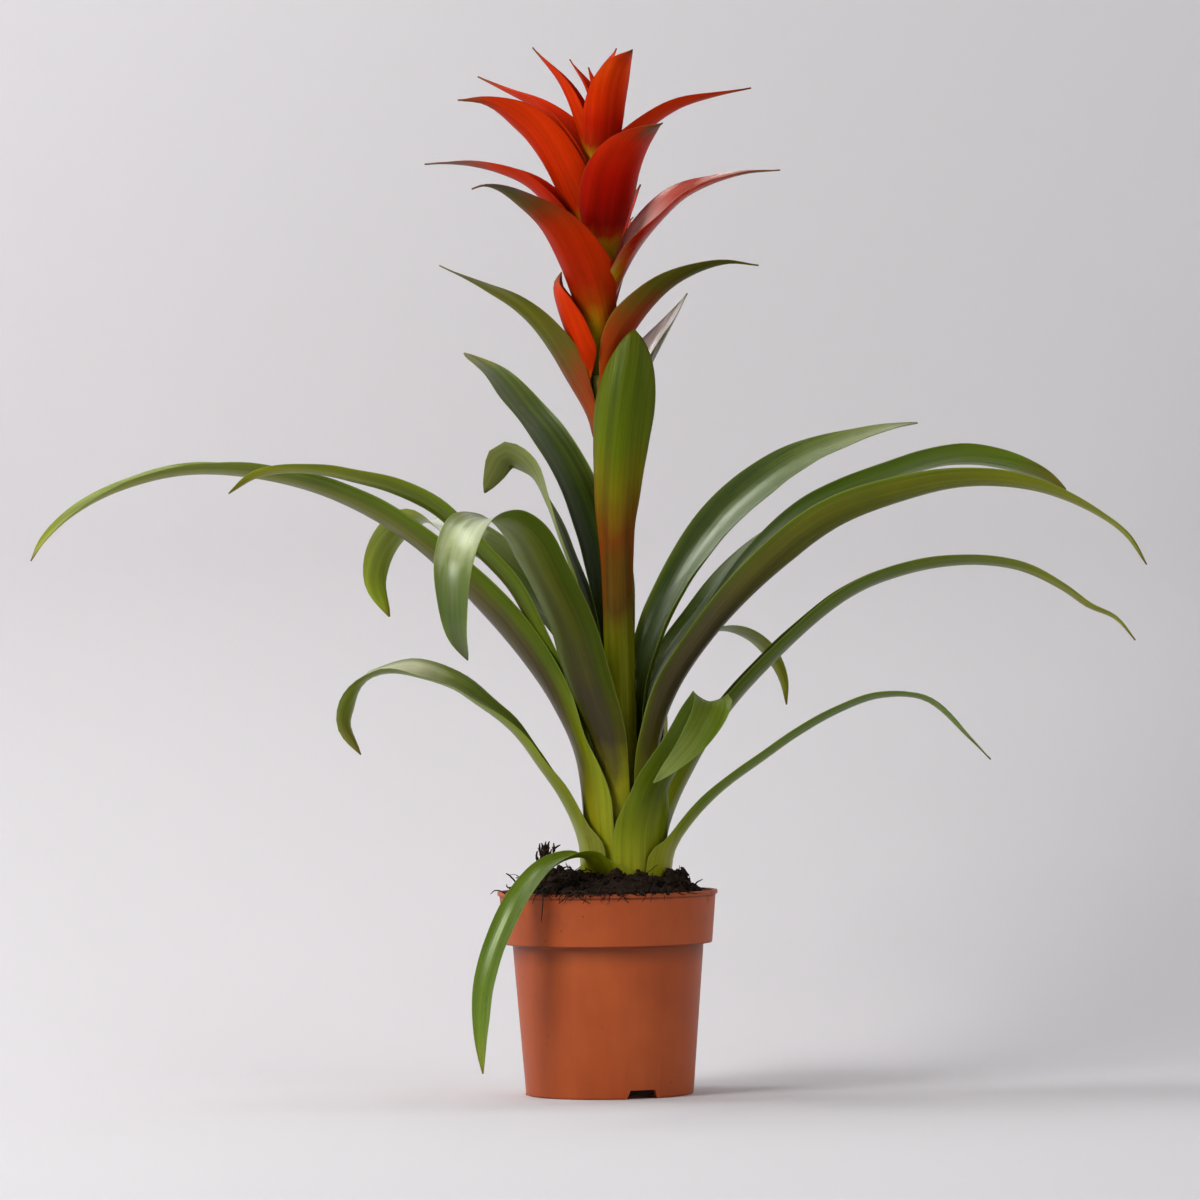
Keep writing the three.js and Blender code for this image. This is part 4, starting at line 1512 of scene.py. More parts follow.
BRACTS = (
    Bract(
        name="scape_bract_back", azimuth=88, height=250, width=20,
        spine=((8, 278, 1.3), (9, 328, 4.8), (12, 370, 8.3), (17, 398, 9.6), (22, 416, 10.4)),
        finish=SCAPE_GREEN, slot="green_bract",
    ),
    Bract(
        name="bract_01_left", azimuth=185, height=388, width=33, roll=(0, 20, 20, 0),
        spine=(
            (9, 400), (19, 420), (28, 437), (41, 455), (53, 466), (66, 474), (80, 482), (96, 490),
        ),
        finish=BRACT_GREEN, slot="green_bract",
    ),
    Bract(
        name="bract_02_right_back", azimuth=35, height=395, width=40,
        spine=((12, 405), (29, 426), (43, 446), (54, 462), (63, 475)), finish=BRACT_PAINTED_HIGHLIGHT,
        slot="orange_bract",
    ),
    Bract(
        name="bract_03_back", azimuth=97, height=402, width=30,
        spine=((9, 414), (22, 435), (40, 456), (60, 470), (82, 478)), finish=BRACT_ORANGE,
        slot="orange_bract",
    ),
    Bract(
        name="bract_04_right", azimuth=342, height=410, width=43,
        spine=((9, 422), (15, 441), (27, 459), (44, 475), (62, 484), (80, 488), (98, 486)),
        finish=BRACT_LOWER_RIGHT, slot="orange_bract",
    ),
    Bract(
        name="bract_05_left_back", azimuth=174, height=412, width=50, root_share=0.25,
        point=(3.5, 0.85),
        spine=((10, 420), (15.5, 434), (20, 449), (24.5, 463), (27, 474), (26.5, 480), (22.5, 486)),
        finish=BRACT_ORANGE, slot="orange_bract",
    ),
    Bract(
        name="bract_06_left_front", azimuth=222, height=424, width=56,
        spine=(
            (8.5, 438), (13.5, 463), (23, 487), (38, 508), (57, 521), (76, 530), (89, 532),
            (98, 529.5),
        ),
        finish=BRACT_FRONT_LEFT, slot="red_bract",
    ),
    Bract(
        name="bract_07_back", azimuth=74, height=444, width=32,
        spine=((9, 456), (18, 478), (34, 500), (54, 516), (76, 524)), finish=BRACT_ORANGE,
        slot="orange_bract",
    ),
    Bract(
        name="bract_08_right", azimuth=340, height=456, width=41, cup=(1.3, 0.85, 0.5),
        roll=(0, 24, 34, 18, 6),
        spine=((9, 469), (18, 488), (32, 508), (51, 526), (71, 535), (92, 540), (113, 541)),
        finish=BRACT_RIGHT, slot="red_bract",
    ),
    Bract(
        name="bract_09_back_left", azimuth=131, height=466, width=26,
        spine=((9, 478), (18, 498), (33, 520), (54, 538), (78, 548)), finish=BRACT_ORANGE,
        slot="orange_bract",
    ),
    Bract(
        name="bract_10_right_back", azimuth=60, height=474, width=24,
        spine=((9, 486), (18, 503), (29, 518), (40, 531), (49, 541)), finish=BRACT_ORANGE,
        slot="orange_bract",
    ),
    Bract(
        name="bract_11_left", azimuth=162, height=482, width=36,
        spine=(
            (9, 494), (18, 508), (28, 521), (45, 538), (63, 547), (81, 552), (98, 554), (110, 554),
        ),
        finish=BRACT_DRY_TIP, slot="orange_bract",
    ),
    Bract(
        name="bract_12_front", azimuth=288, height=488, width=45, root_share=0.55, point=(1.5, 1),
        cup=(1, 0.9, 0.5),
        spine=(
            (11, 500), (18, 518, 0.5), (24, 539, 2.5), (35, 554, 7), (52, 563, 12), (69, 567, 16),
        ),
        finish=BRACT_FRONT, slot="red_bract",
    ),
    Bract(
        name="bract_13_left", azimuth=177, height=500, width=44, root_share=0.35, point=(1.6, 0.95),
        cup=(1.3, 1.15, 0.6), roll=(0, 32, 38, 0),
        spine=(
            (9, 508), (14.5, 518), (21, 530), (28, 546), (35, 559), (44, 571), (56, 580.5),
            (69, 587), (84, 589),
        ),
        finish=BRACT_ORANGE, slot="orange_bract",
    ),
    Bract(
        name="bract_14_back", azimuth=66, height=518, width=22,
        spine=((8, 529), (17, 546), (30, 559), (46, 567), (62, 571)), finish=BRACT_RED,
        slot="red_bract",
    ),
    Bract(
        name="bract_15_right", azimuth=8, height=524, width=38,
        spine=((8.5, 536), (16, 555), (31, 571), (49, 583), (70, 590), (92, 595)),
        finish=BRACT_ORANGE, slot="orange_bract",
    ),
    Bract(
        name="bract_16_left_back", azimuth=150, height=532, width=35,
        spine=((8, 544), (18, 560), (30, 574), (44, 586), (62, 596), (83, 607)),
        finish=BRACT_ORANGE, slot="orange_bract",
    ),
    Bract(
        name="bract_17_front", azimuth=300, height=540, width=37, root_share=0.4, point=(1.8, 0.95),
        cup=(1.1, 0.8, 0.5),
        spine=((10, 551), (14.5, 573, -0.5), (18.5, 594, 0), (27, 607, 0.5), (40, 613)),
        finish=BRACT_TOP, slot="red_bract",
    ),
    Bract(
        name="bract_18_left", azimuth=170, height=550, width=31, root_share=0.35, point=(1.6, 1),
        cup=(1.3, 1.15, 0.6),
        spine=((9, 557), (12.5, 568), (15.5, 578), (19, 588), (25.5, 601), (40, 620)),
        finish=BRACT_ORANGE, slot="orange_bract",
    ),
    Bract(
        name="bract_19_top_back", azimuth=60, height=558, width=28,
        spine=((6.8, 569), (9, 588, 2), (13, 606, 2), (20, 620)), finish=BRACT_INNER,
        slot="red_bract",
    ),
    Bract(
        name="bract_20_top_left", azimuth=150, height=566, width=16,
        spine=((5.2, 576), (9, 594), (21, 613)), finish=BRACT_INNER, slot="red_bract",
    ),
    Bract(
        name="bract_21_top_front", azimuth=228, height=572, width=12,
        spine=((4.8, 581), (6.5, 594), (11, 606)), finish=BRACT_INNER, slot="red_bract",
    ),
)


@dataclass(frozen=True)
class Pot:
    """Nursery pot of moulded plastic, turned, with drainage notches cut in its foot.

    Attributes:
        sides: Sides of the turned shape.
        first_notch: Azimuth of the notch that faces front right, in degrees.
        notches: How many notches there are.
        notch_height: Height of a notch, in millimetres.
        notch_widths: Width of a notch at the floor and at its top.
        notch_depth: How deep it goes towards the middle.
        roof: Thickness of the pocket over a notch.
    """

    sides: int = 180
    first_notch: float = 293.0
    notches: int = 3
    notch_height: float = 5.2
    notch_widths: tuple[float, float] = (19.6, 15.6)
    notch_depth: float = 11.0
    roof: float = 1.4

    FOOT_RADIUS = 49.4
    # Radius, height and how far the corner is cut back, up the outside and down the inside
    PROFILE = (
        (0.05, 0.0, 0.0), (FOOT_RADIUS, 0.0, 1.6), (56.4, 88.6, 0.8), (61.5, 89.0, 0.7),
        (63.85, 117.4, 0.5), (65.0, 117.7, 0.3), (65.0, 120.0, 0.5), (62.5, 120.0, 0.5),
        (60.2, 90.4, 0.5), (55.1, 90.4, 0.6), (48.2, 1.6, 1.0), (0.05, 1.6, 0.0),
    )
    # How far past the foot's radius, and from what height, a pocket and a cut run
    POCKET = (-0.9, 0.05)
    CUT = (10.0, -5.0)
    NOTCH_CORNER = 0.1
    SHARP_ANGLE = 38.0

    TONES = {0.3: "a54818", 0.52: "ae4e1d", 0.75: "b65623"}
    DUST_TONE = "5a3524"
    CRUMB_TONE = "4a2a1c"
    SHADE_TONE = "4a1e10"
    # Middle and half width of the painted shadow lines under the lip and under the collar, in
    # metres
    LIP_SHADOW_LINE = (0.1171, 0.0009)
    COLLAR_SHADOW_LINE = (0.0889, 0.0011)
    SHADOW_LINE_STRENGTH = 0.6
    # Where the collar's shade starts, is darkest and ends, in metres
    SHADE_FROM = (0.0745, 0.0882)
    SHADE_TO = (0.0884, 0.089)
    SHADE_STRENGTH = 0.5
    DUST_HEIGHTS = (0.088, 0.119)
    DUST_STRENGTH = 0.35
    DUST_DULLS = 0.25
    CRUMB_STRENGTH = 0.8
    GLOSS = 0.3

    def build(self) -> Object:
        """Builds the pot.

        Returns:
            The pot's object.
        """
        shell = self._shell()
        for index in range(self.notches):
            azimuth = self.first_notch + 360.0 * index / self.notches
            self._combine(shell, self._prism("pocket", azimuth, self.roof, *self.POCKET), "UNION")
            self._combine(shell, self._prism("notch", azimuth, 0.0, *self.CUT), "DIFFERENCE")
        mesh = shell.data
        bpy.data.objects.remove(shell)
        mesh.name = "pot_shell"
        mesh.shade_smooth()
        mesh.set_sharp_from_angle(angle=math.radians(self.SHARP_ANGLE))
        mesh.materials.append(self._plastic())
        return stand_for("pot_shell", mesh, "pot", "pot")

    def _shell(self) -> Object:
        """Turns the pot's wall, floor, collar and lip.

        Returns:
            The shell's object, without notches.
        """
        mesh = loft("pot_turned", turned(rounded(self.PROFILE), self.sides))
        return placed("pot_turned", mesh)

    def _prism(
        self, name: str, azimuth: float, margin: float, reach: float, low: float
    ) -> Object:
        """Makes the prism of one notch, or of the pocket over it.

        Args:
            name: The object's name.
            azimuth: Which way it faces, in degrees.
            margin: How much larger than the notch it is, in millimetres.
            reach: How far it runs past the foot's radius.
            low: Height of its lowest edge.

        Returns:
            The prism's object.
        """
        half_low = self.notch_widths[0] / 2.0 + margin
        half_top = self.notch_widths[1] / 2.0 + margin
        top = self.notch_height + margin
        section = (
            (-half_low, low), (half_low, low), (half_low, self.NOTCH_CORNER),
            (half_top, top), (-half_top, top), (-half_low, self.NOTCH_CORNER),
        )
        outward, sideways = level_directions(azimuth)
        inner = self.FOOT_RADIUS - self.notch_depth - margin
        rows = []
        for distance in (inner, self.FOOT_RADIUS + reach):
            middle = outward * distance
            rows.append(np.array([middle + sideways * x + np.array([0, 0, z]) for x, z in section]))
        return placed(name, loft(name, rows))

    @staticmethod
    def _combine(shell: Object, tool: Object, operation: str) -> None:
        """Adds a solid to the shell or cuts it away.

        Args:
            shell: The object to change.
            tool: The other solid, which is removed afterwards.
            operation: "UNION" or "DIFFERENCE".
        """
        modifier = shell.modifiers.new("combine", "BOOLEAN")
        modifier.operation = operation
        modifier.object = tool
        modifier.solver = "EXACT"
        bpy.context.view_layer.update()
        shaped = shell.evaluated_get(bpy.context.evaluated_depsgraph_get())
        shell.data = bpy.data.meshes.new_from_object(shaped)
        shell.modifiers.clear()
        bpy.data.objects.remove(tool)

    @staticmethod
    def _line(graph: Graph, height: Socket, middle: float, half: float) -> Socket:
        """Marks a thin level line.

        Args:
            graph: The material's nodes.
            height: Height in metres.
            middle: The line's height.
            half: Half of its width.

        Returns:
            1 on the line, fading to 0 beside it.
        """
        away = graph.math("ABSOLUTE", graph.math("SUBTRACT", height, middle))
        return graph.span(away, 0.3 * half, half, 1.0, 0.0)

    def _plastic(self) -> Material:
        """Makes the terracotta-coloured plastic, with fine scratches, dust from the peat and
        painted shade.

        Returns:
            The material.
        """
        material = bpy.data.materials.new("pot_plastic")
        graph = Graph(material)
        place = graph.place()
        height = graph.axes(place)[2]
        cloud = graph.noise(place, 24.0, 3.0)
        flow = graph.noise(graph.scaled(place, (1.0, 1.0, 0.12)), 120.0, 2.0)
        base = graph.shaded(graph.ramp(cloud, self.TONES), graph.contrast(flow, 0.93, 1.06), 0.5)
        dust = graph.span(graph.noise(place, 70.0, 4.0), 0.5, 0.72)
        dust = graph.times(dust, graph.span(height, *self.DUST_HEIGHTS))
        dusty = graph.times(dust, self.DUST_STRENGTH)
        base = graph.mix(dusty, base, linear(self.DUST_TONE))
        crumbs = graph.span(graph.cells(place, 170.0), 0.06, 0.12, 1.0, 0.0)
        some = graph.span(graph.noise(place, 38.0, 1.0), 0.6, 0.66)
        crumbs = graph.times(crumbs, graph.times(some, self.CRUMB_STRENGTH))
        base = graph.mix(crumbs, base, linear(self.CRUMB_TONE))
        # Painted shade: dark shadow lines under the lip and collar, and shade under the collar
        base = graph.mix(self._shade(graph, height), base, linear(self.SHADE_TONE))
        graph.put("Base Color", base)
        rough = graph.plus(graph.contrast(cloud, 0.43, 0.52), graph.times(dust, self.DUST_DULLS))
        graph.put("Roughness", rough)
        scratch = graph.noise(graph.scaled(place, (1.0, 1.0, 30.0)), 60.0, 2.0)
        grain = graph.noise(place, 1500.0, 2.0)
        graph.bump(graph.plus(graph.times(scratch, 0.4), graph.times(grain, 0.5)), 0.16, 0.00025)
        graph.put("Specular IOR Level", self.GLOSS)
        return material

    def _shade(self, graph: Graph, height: Socket) -> Socket:
        """Marks the painted shadow lines under the lip and the collar, and the painted shade under
        the collar.

        Args:
            graph: The material's nodes.
            height: Height in metres.

        Returns:
            How dark it is there, from 0 to 1.
        """
        # Painted shadow lines under the lip and under the collar, and painted shade under the
        # collar
        lip = self._line(graph, height, *self.LIP_SHADOW_LINE)
        shadow_lines = graph.math("MAXIMUM", lip, self._line(graph, height, *self.COLLAR_SHADOW_LINE))
        rise = graph.span(height, *self.SHADE_FROM, 0.0, self.SHADE_STRENGTH)
        shade = graph.times(rise, graph.span(height, *self.SHADE_TO, 1.0, 0.0))
        return graph.math("MAXIMUM", graph.times(shadow_lines, self.SHADOW_LINE_STRENGTH), shade)


class Tubes:
    """Gathers thin tubes into one mesh."""

    SIDES = 6
    # Any direction that no tube runs along exactly
    ASKEW = (0.31, 0.22, 0.92)
    # How thick the ends stay, as a share of the middle, and the part of a half wave that is used
    END_SHARE = 0.35
    WAVE_FROM = 0.08
    WAVE_SPAN = 0.84

    def __init__(self) -> None:
        """Starts with no tubes."""
        self.points: list[np.ndarray] = []
        self.faces: list[tuple[int, ...]] = []

    def add(self, path: Sequence[np.ndarray], radius: float) -> None:
        """Adds a tube that thins to both ends.

        Args:
            path: Points along its middle, in millimetres.
            radius: Its thickest radius, in millimetres.
        """
        start = len(self.points)
        count = len(path)
        for index, point in enumerate(path):
            ahead = path[min(count - 1, index + 1)] - path[max(0, index - 1)]
            ahead = ahead / np.linalg.norm(ahead)
            side = np.cross(ahead, np.array(self.ASKEW))
            side /= np.linalg.norm(side)
            other = np.cross(ahead, side)
            wave = math.sin(math.pi * (self.WAVE_FROM + self.WAVE_SPAN * index / (count - 1)))
            thick = radius * (self.END_SHARE + (1.0 - self.END_SHARE) * wave)
            for corner in range(self.SIDES):
                turn = FULL_TURN * corner / self.SIDES
                around = side * math.cos(turn) + other * math.sin(turn)
                self.points.append(point + thick * around)
        for index in range(count - 1):
            base = start + index * self.SIDES
            for corner in range(self.SIDES):
                after = (corner + 1) % self.SIDES
                above = base + self.SIDES
                self.faces.append((base + corner, base + after, above + after, above + corner))
        self.faces.append(tuple(range(start + self.SIDES - 1, start - 1, -1)))
        last = start + (count - 1) * self.SIDES
        self.faces.append(tuple(range(last, last + self.SIDES)))

    def follow(self, curve: Spine, count: int, radius: float) -> None:
        """Adds a tube along a curve.

        Args:
            curve: The curve.
            count: How many points along it are used.
            radius: The tube's thickest radius, in millimetres.
        """
        self.add([curve.at(share)[0] for share in np.linspace(0.0, 1.0, count)], radius)

    def mesh(self, name: str) -> Mesh:
        """Makes the mesh of all tubes.

        Args:
            name: The mesh's name.

        Returns:
            The mesh, in metres.
        """
        made = bpy.data.meshes.new(name)
        made.from_pydata((np.array(self.points) * MM).tolist(), [], self.faces)
        face_outwards(made)
        made.shade_smooth()
        return made


@dataclass(frozen=True)
class Peat:
    """Dark peat heaped round the plant, with clods, root fibres and strands over the rim.

    Attributes:
        seed: Seed of every random choice.
        clods: How many clods lie on the surface.
        crumbs: How many small crumbs lie among them.
        fibres: How many fibres show.
    """

    seed: int = 11
    clods: int = 330
    crumbs: int = 900
    fibres: int = 320

    # The bed: radii and heights of its foot in the pot and of its crown, then its unevenness
    FOOT = ((0.05, 2), (46.5, 2), (53.4, 88.5), (53.4, 91.2), (58.6, 91.2), (61.2, 109))
    CROWN = (
        (0, 129), (31, 129.5), (37, 128.5), (43, 126.5), (49, 123.5), (55, 119),
        (60.4, 113.5), (61.7, 110),
    )
    RIM = 60.8
    RINGS = 70
    SIDES = 220
    CALM_WIDTH = 6.0
    ROUGH_SCALE = 0.13
    ROUGH_HEIGHT = 2.2
    SWELL_SCALE = 0.06
    SWELL_HEIGHT = 3.0

    # Clods and crumbs, with sizes in millimetres
    LUMP_DETAIL = (3, 3, 3, 3, 3, 2, 2, 2)
    CLOD_LOG_SIZE = (0.35, 0.4)
    CLOD_SIZES = (0.8, 3.6)
    CRUMB_SIZES = (0.3, 1.0)
    STRETCH = (0.6, 1.35)
    LIFT = (-0.1, 0.55)
    PLANT_CLEARANCE = 30.5
    CLOD_EDGE = 60.2
    HEAP_EDGE = 60.0
    # Heaps of clods: X, Y, spread, and how high the middle stands over the bed
    HEAPS = (
        (-35, -14, 6, 13), (44, -16, 10, 8), (33, -38, 9, 3),
        (-22, -44, 10, 3),
    )
    HEAP_SHARE = 0.48

    # Crumbs spilled on the lip between two angles in front, and the lip they lie on
    SPILL_SHARE = 0.16
    SPILL_LARGEST = 1.7
    SPILL_RADII = (61.8, 65.4)
    SPILL_DROP = 2.4
    FRONT = (-2.2, -0.95)
    LIP_TOP = 121.2
    LIP_RADIUS = 64.6

    # Fibres on the bed, with lengths and radii in millimetres and slopes in radians
    FIBRE_RADII = (0.18, 0.55)
    FIBRE_SLOPES = (-0.1, 0.6)
    FIBRE_LENGTHS = (4.0, 15.0)
    FIBRE_CLEARANCE = 34.0
    FIBRE_EDGE = 58.5
    FIBRE_LIMIT = 59.5
    FIBRE_LIFT = 0.6
    FIBRE_STEPS = 9
    # The tuft of root ends at the left: X, Y and the height over the bed
    TUFT = (-36.5, -14.0, 17.0)
    SPIKES = 70
    SPIKE_SPREAD = 2.0
    SPIKE_SLOPES = (1.1, 2.0)
    SPIKE_LENGTHS = (4.0, 8.0)
    SPIKE_RADIUS = 0.6
    SPIKE_WANDER = 0.35
    # Short roots over the lip in front: radii, and heights over the lip as they start
    OVERHANGS = 38
    OVERHANG_DROPS = (0.5, 7.0)
    OVERHANG_START = ((58.0, 1.0), (62.0, 0.9), (65.2, 0.5))
    OVERHANG_RADII = (66.0, 65.8)
    OVERHANG_THICKNESS = (0.2, 0.5)
    # Root strands that hang over the rim: X, Y and Z of their points
    STRAND_RADIUS = 0.42
    STRANDS = (
        (
            (-39, -48, 125), (-38.5, -58, 124.5), (-37.6, -63.5, 121.6), (-37.4, -65.6, 117),
            (-38, -66, 110), (-38.6, -65.4, 104.5),
        ),
        (
            (-20, -58, 122), (-16, -63.5, 121.8), (-10, -65.7, 120.4), (-5, -66, 119.6),
            (1, -66.2, 121),
        ),
        ((2, -58, 122), (6, -64, 121.2), (9, -66, 118.6), (13, -66.3, 117)),
        ((16, -57, 122.5), (20, -63.8, 121), (22, -65.9, 118.8), (20, -66.2, 115.6)),
        ((-57, -24, 117), (-62, -26, 121), (-66, -27, 121.6), (-68.5, -26, 119.5)),
    )

    def build(self) -> list[Object]:
        """Builds the peat, its clods and its fibres.

        Returns:
            The three pieces.
        """
        chance = np.random.default_rng(self.seed)
        earth = self._earth("peat_earth", "150e09", "261b13")
        bed = self._bed()
        bed.materials.append(earth)
        clods = self._clods(chance)
        clods.materials.append(self._earth("peat_clod", "120c08", "2a1d14"))
        fibres = self._fibres(chance)
        fibres.materials.append(self._earth("peat_fibre", "170e08", "332114"))
        return [
            stand_for("peat_bed", bed, "soil", "soil"),
            stand_for("peat_clods", clods, "soil"),
            stand_for("peat_fibres", fibres, "soil"),
        ]

    def surface(self, x: float, y: float) -> float:
        """Finds the height of the peat.

        Args:
            x: X in millimetres.
            y: Y in millimetres.

        Returns:
            Height in millimetres.
        """
        radius = math.hypot(x, y)
        radii, heights = zip(*self.CROWN)
        calm = smooth((self.RIM - radius) / self.CALM_WIDTH)
        rough = noise.fractal(Vector((x, y, 0.0)) * self.ROUGH_SCALE, 0.8, 2.1, 5)
        swell = noise.noise(Vector((x, y, 9.0)) * self.SWELL_SCALE)
        uneven = self.ROUGH_HEIGHT * rough + self.SWELL_HEIGHT * swell
        return float(np.interp(radius, radii, heights)) + calm * uneven

    def _bed(self) -> Mesh:
        """Makes the body of peat under its uneven surface.

        Returns:
            The mesh.
        """
        rows = turned(self.FOOT, self.SIDES)
        for radius in np.linspace(self.RIM, 0.05, self.RINGS):
            ring = turned([(radius, 0.0)], self.SIDES)[0]
            ring[:, 2] = [self.surface(x, y) for x, y, _ in ring]
            rows.append(ring)
        return loft("peat_bed", rows)

    def _spot(
        self, chance: np.random.Generator, inner: float, outer: float
    ) -> tuple[float, float]:
        """Chooses a place on the peat that isn't under the plant.

        Args:
            chance: The random numbers.
            inner: Least distance from the plant's axis.
            outer: Most distance from the pot's axis.

        Returns:
            X and Y in millimetres.
        """
        while True:
            turn = chance.uniform(0.0, FULL_TURN)
            radius = outer * math.sqrt(chance.uniform(0.2, 1.0))
            x, y = radius * math.cos(turn), radius * math.sin(turn)
            if math.hypot(x - PLANT_X, y) > inner:
                return x, y

    def _place(self, chance: np.random.Generator, size: float) -> Point:
        """Chooses where a clod lies: on the lip, anywhere on the bed, or on one of the heaps.

        Args:
            chance: The random numbers.
            size: The clod's size in millimetres.

        Returns:
            X, Y and the height over the bed, in millimetres.
        """
        if chance.uniform() < self.SPILL_SHARE and size < self.SPILL_LARGEST:
            turn, radius = chance.uniform(*self.FRONT), chance.uniform(*self.SPILL_RADII)
            x, y = radius * math.cos(turn), radius * math.sin(turn)
            drop = chance.uniform(0.0, self.SPILL_DROP) if radius > self.LIP_RADIUS else 0.0
            return x, y, self.LIP_TOP - drop - self.surface(x, y)
        if chance.uniform() > self.HEAP_SHARE:
            inner = self.PLANT_CLEARANCE + 0.4 * size
            return *self._spot(chance, inner, self.CLOD_EDGE - size), 0.0
        heap_x, heap_y, spread, peak = self.HEAPS[chance.integers(len(self.HEAPS))]
        turn, reach = chance.uniform(0.0, FULL_TURN), spread * math.sqrt(chance.uniform())
        x, y = heap_x + reach * math.cos(turn), heap_y + reach * math.sin(turn)
        inward = min(1.0, (self.HEAP_EDGE - size) / math.hypot(x, y))
        return x * inward, y * inward, peak * (1.0 - reach / spread) * chance.uniform()

    def _lumps(self, chance: np.random.Generator) -> list[tuple[np.ndarray, np.ndarray]]:
        """Makes a few crumbly lumps that the clods are copies of.

        Args:
            chance: The random numbers.

        Returns:
            Points about the middle, for a radius of 1, and triangles.
        """
        lumps = []
        for detail in self.LUMP_DETAIL:
            work = bmesh.new()
            bmesh.ops.create_icosphere(work, subdivisions=detail, radius=1.0)
            offset = Vector(chance.uniform(-90.0, 90.0, 3))
            points = []
            for vert in work.verts:
                coarse = noise.noise(vert.co * 1.1 + offset)
                crumbs = noise.cell(vert.co * 2.3 + offset)
                fine = noise.noise(vert.co * 4.5 + offset)
                swollen = 1.0 + 0.55 * coarse + 0.16 * crumbs + 0.3 * fine
                points.append(np.array(vert.co) * swollen)
            triangles = np.array([[vert.index for vert in face.verts] for face in work.faces])
            work.free()
            lumps.append((np.array(points), triangles))
        return lumps

    def _clods(self, chance: np.random.Generator) -> Mesh:
        """Scatters turned and stretched copies of the lumps over the peat.

        Args:
            chance: The random numbers.

        Returns:
            All of them in one mesh.
        """
        lumps = self._lumps(chance)
        finest = max(self.LUMP_DETAIL)
        rich = [lump for lump, detail in zip(lumps, self.LUMP_DETAIL) if detail == finest]
        plain = [lump for lump, detail in zip(lumps, self.LUMP_DETAIL) if detail < finest]
        points, faces, start = [], [], 0
        for number in range(self.clods + self.crumbs):
            if number < self.clods:
                family = rich
                size = float(np.clip(chance.lognormal(*self.CLOD_LOG_SIZE), *self.CLOD_SIZES))
            else:
                family = plain
                size = chance.uniform(*self.CRUMB_SIZES)
            x, y, heap = self._place(chance, size)
            shape, triangles = family[chance.integers(len(family))]
            turn = Matrix.Rotation(chance.uniform(0.0, FULL_TURN), 3, "Z")
            turn = turn @ Matrix.Rotation(chance.uniform(0.0, FULL_TURN), 3, "X")
            stretched = shape * chance.uniform(*self.STRETCH, 3) * size
            lift = self.surface(x, y) + heap + size * chance.uniform(*self.LIFT)
            points.append(stretched @ np.array(turn).T + np.array([x, y, lift]))
            faces.append(triangles + start)
            start += len(shape)
        mesh = bpy.data.meshes.new("peat_clods")
        mesh.from_pydata((np.vstack(points) * MM).tolist(), [], np.vstack(faces).tolist())
        face_outwards(mesh)
        mesh.shade_smooth()
        return mesh

    def _fibres(self, chance: np.random.Generator) -> Mesh:
        """Makes the root fibres, the tuft at the left and the strands over the rim.

        Args:
            chance: The random numbers.

        Returns:
            All of them in one mesh.
        """
        tubes = Tubes()
        for _ in range(self.fibres):
            x, y = self._spot(chance, self.FIBRE_CLEARANCE, self.FIBRE_EDGE)
            start = (x, y, self.surface(x, y) + self.FIBRE_LIFT)
            heading = chance.uniform(0.0, FULL_TURN)
            thick = chance.uniform(*self.FIBRE_RADII)
            rise = chance.uniform(*self.FIBRE_SLOPES)
            length = chance.uniform(*self.FIBRE_LENGTHS)
            self._fibre(tubes, chance, start, heading, rise, length, thick)
        for _ in range(self.SPIKES):
            x = self.TUFT[0] + chance.normal(0.0, self.SPIKE_SPREAD)
            y = self.TUFT[1] + chance.normal(0.0, self.SPIKE_SPREAD)
            start = (x, y, self.surface(x, y) + self.TUFT[2] * chance.uniform(0.3, 1.0))
            rise = chance.uniform(*self.SPIKE_SLOPES)
            heading = chance.uniform(0.0, FULL_TURN)
            length = chance.uniform(*self.SPIKE_LENGTHS)
            self._fibre(
                tubes, chance, start, heading, rise, length, self.SPIKE_RADIUS, self.SPIKE_WANDER
            )
        for _ in range(self.OVERHANGS):
            self._overhang(tubes, chance)
        for strand in self.STRANDS:
            curve = Spine([np.array(point) for point in strand])
            tubes.follow(curve, 26, self.STRAND_RADIUS)
        return tubes.mesh("peat_fibres")

    def _overhang(self, tubes: Tubes, chance: np.random.Generator) -> None:
        """Adds a short root that lies over the lip in front and hangs down its outside.

        Args:
            tubes: Where it is added.
            chance: The random numbers.
        """
        turn, drift = chance.uniform(*self.FRONT), chance.normal(0.0, 0.035)
        drop = chance.uniform(*self.OVERHANG_DROPS)
        upper, lower = self.OVERHANG_RADII
        outline = (*self.OVERHANG_START, (upper, -0.4 - 0.4 * drop), (lower, -drop))
        points = []
        for number, (radius, height) in enumerate(outline):
            angle = turn + drift * number + chance.normal(0.0, 0.012)
            x, y = radius * math.cos(angle), radius * math.sin(angle)
            points.append(np.array((x, y, self.LIP_TOP + height)))
        tubes.follow(Spine(points), 16, chance.uniform(*self.OVERHANG_THICKNESS))

    def _fibre(
        self, tubes: Tubes, chance: np.random.Generator, start: Point, heading: float,
        rise: float, length: float, thick: float, wander: float = 1.0,
    ) -> None:
        """Adds one wandering fibre.

        Args:
            tubes: Where it is added.
            chance: The random numbers.
            start: Its first point, in millimetres.
            heading: The way it starts, in radians.
            rise: How steeply it starts, in radians.
            length: Its length in millimetres.
            thick: Its thickest radius in millimetres.
            wander: How much it bends this way and that.
        """
        spot = np.array(start)
        points = [spot.copy()]
        for _ in range(self.FIBRE_STEPS):
            heading += wander * chance.normal(0.0, 0.45)
            rise = rise * (1.0 - 0.2 * wander) + wander * chance.normal(0.0, 0.28)
            level = math.cos(rise)
            ahead = [math.cos(heading) * level, math.sin(heading) * level, math.sin(rise)]
            spot = spot + np.array(ahead) * length / self.FIBRE_STEPS
            radius = math.hypot(spot[0], spot[1])
            if radius > self.FIBRE_LIMIT:
                spot[:2] *= self.FIBRE_LIMIT / radius
            points.append(spot.copy())
        tubes.add(points, thick)

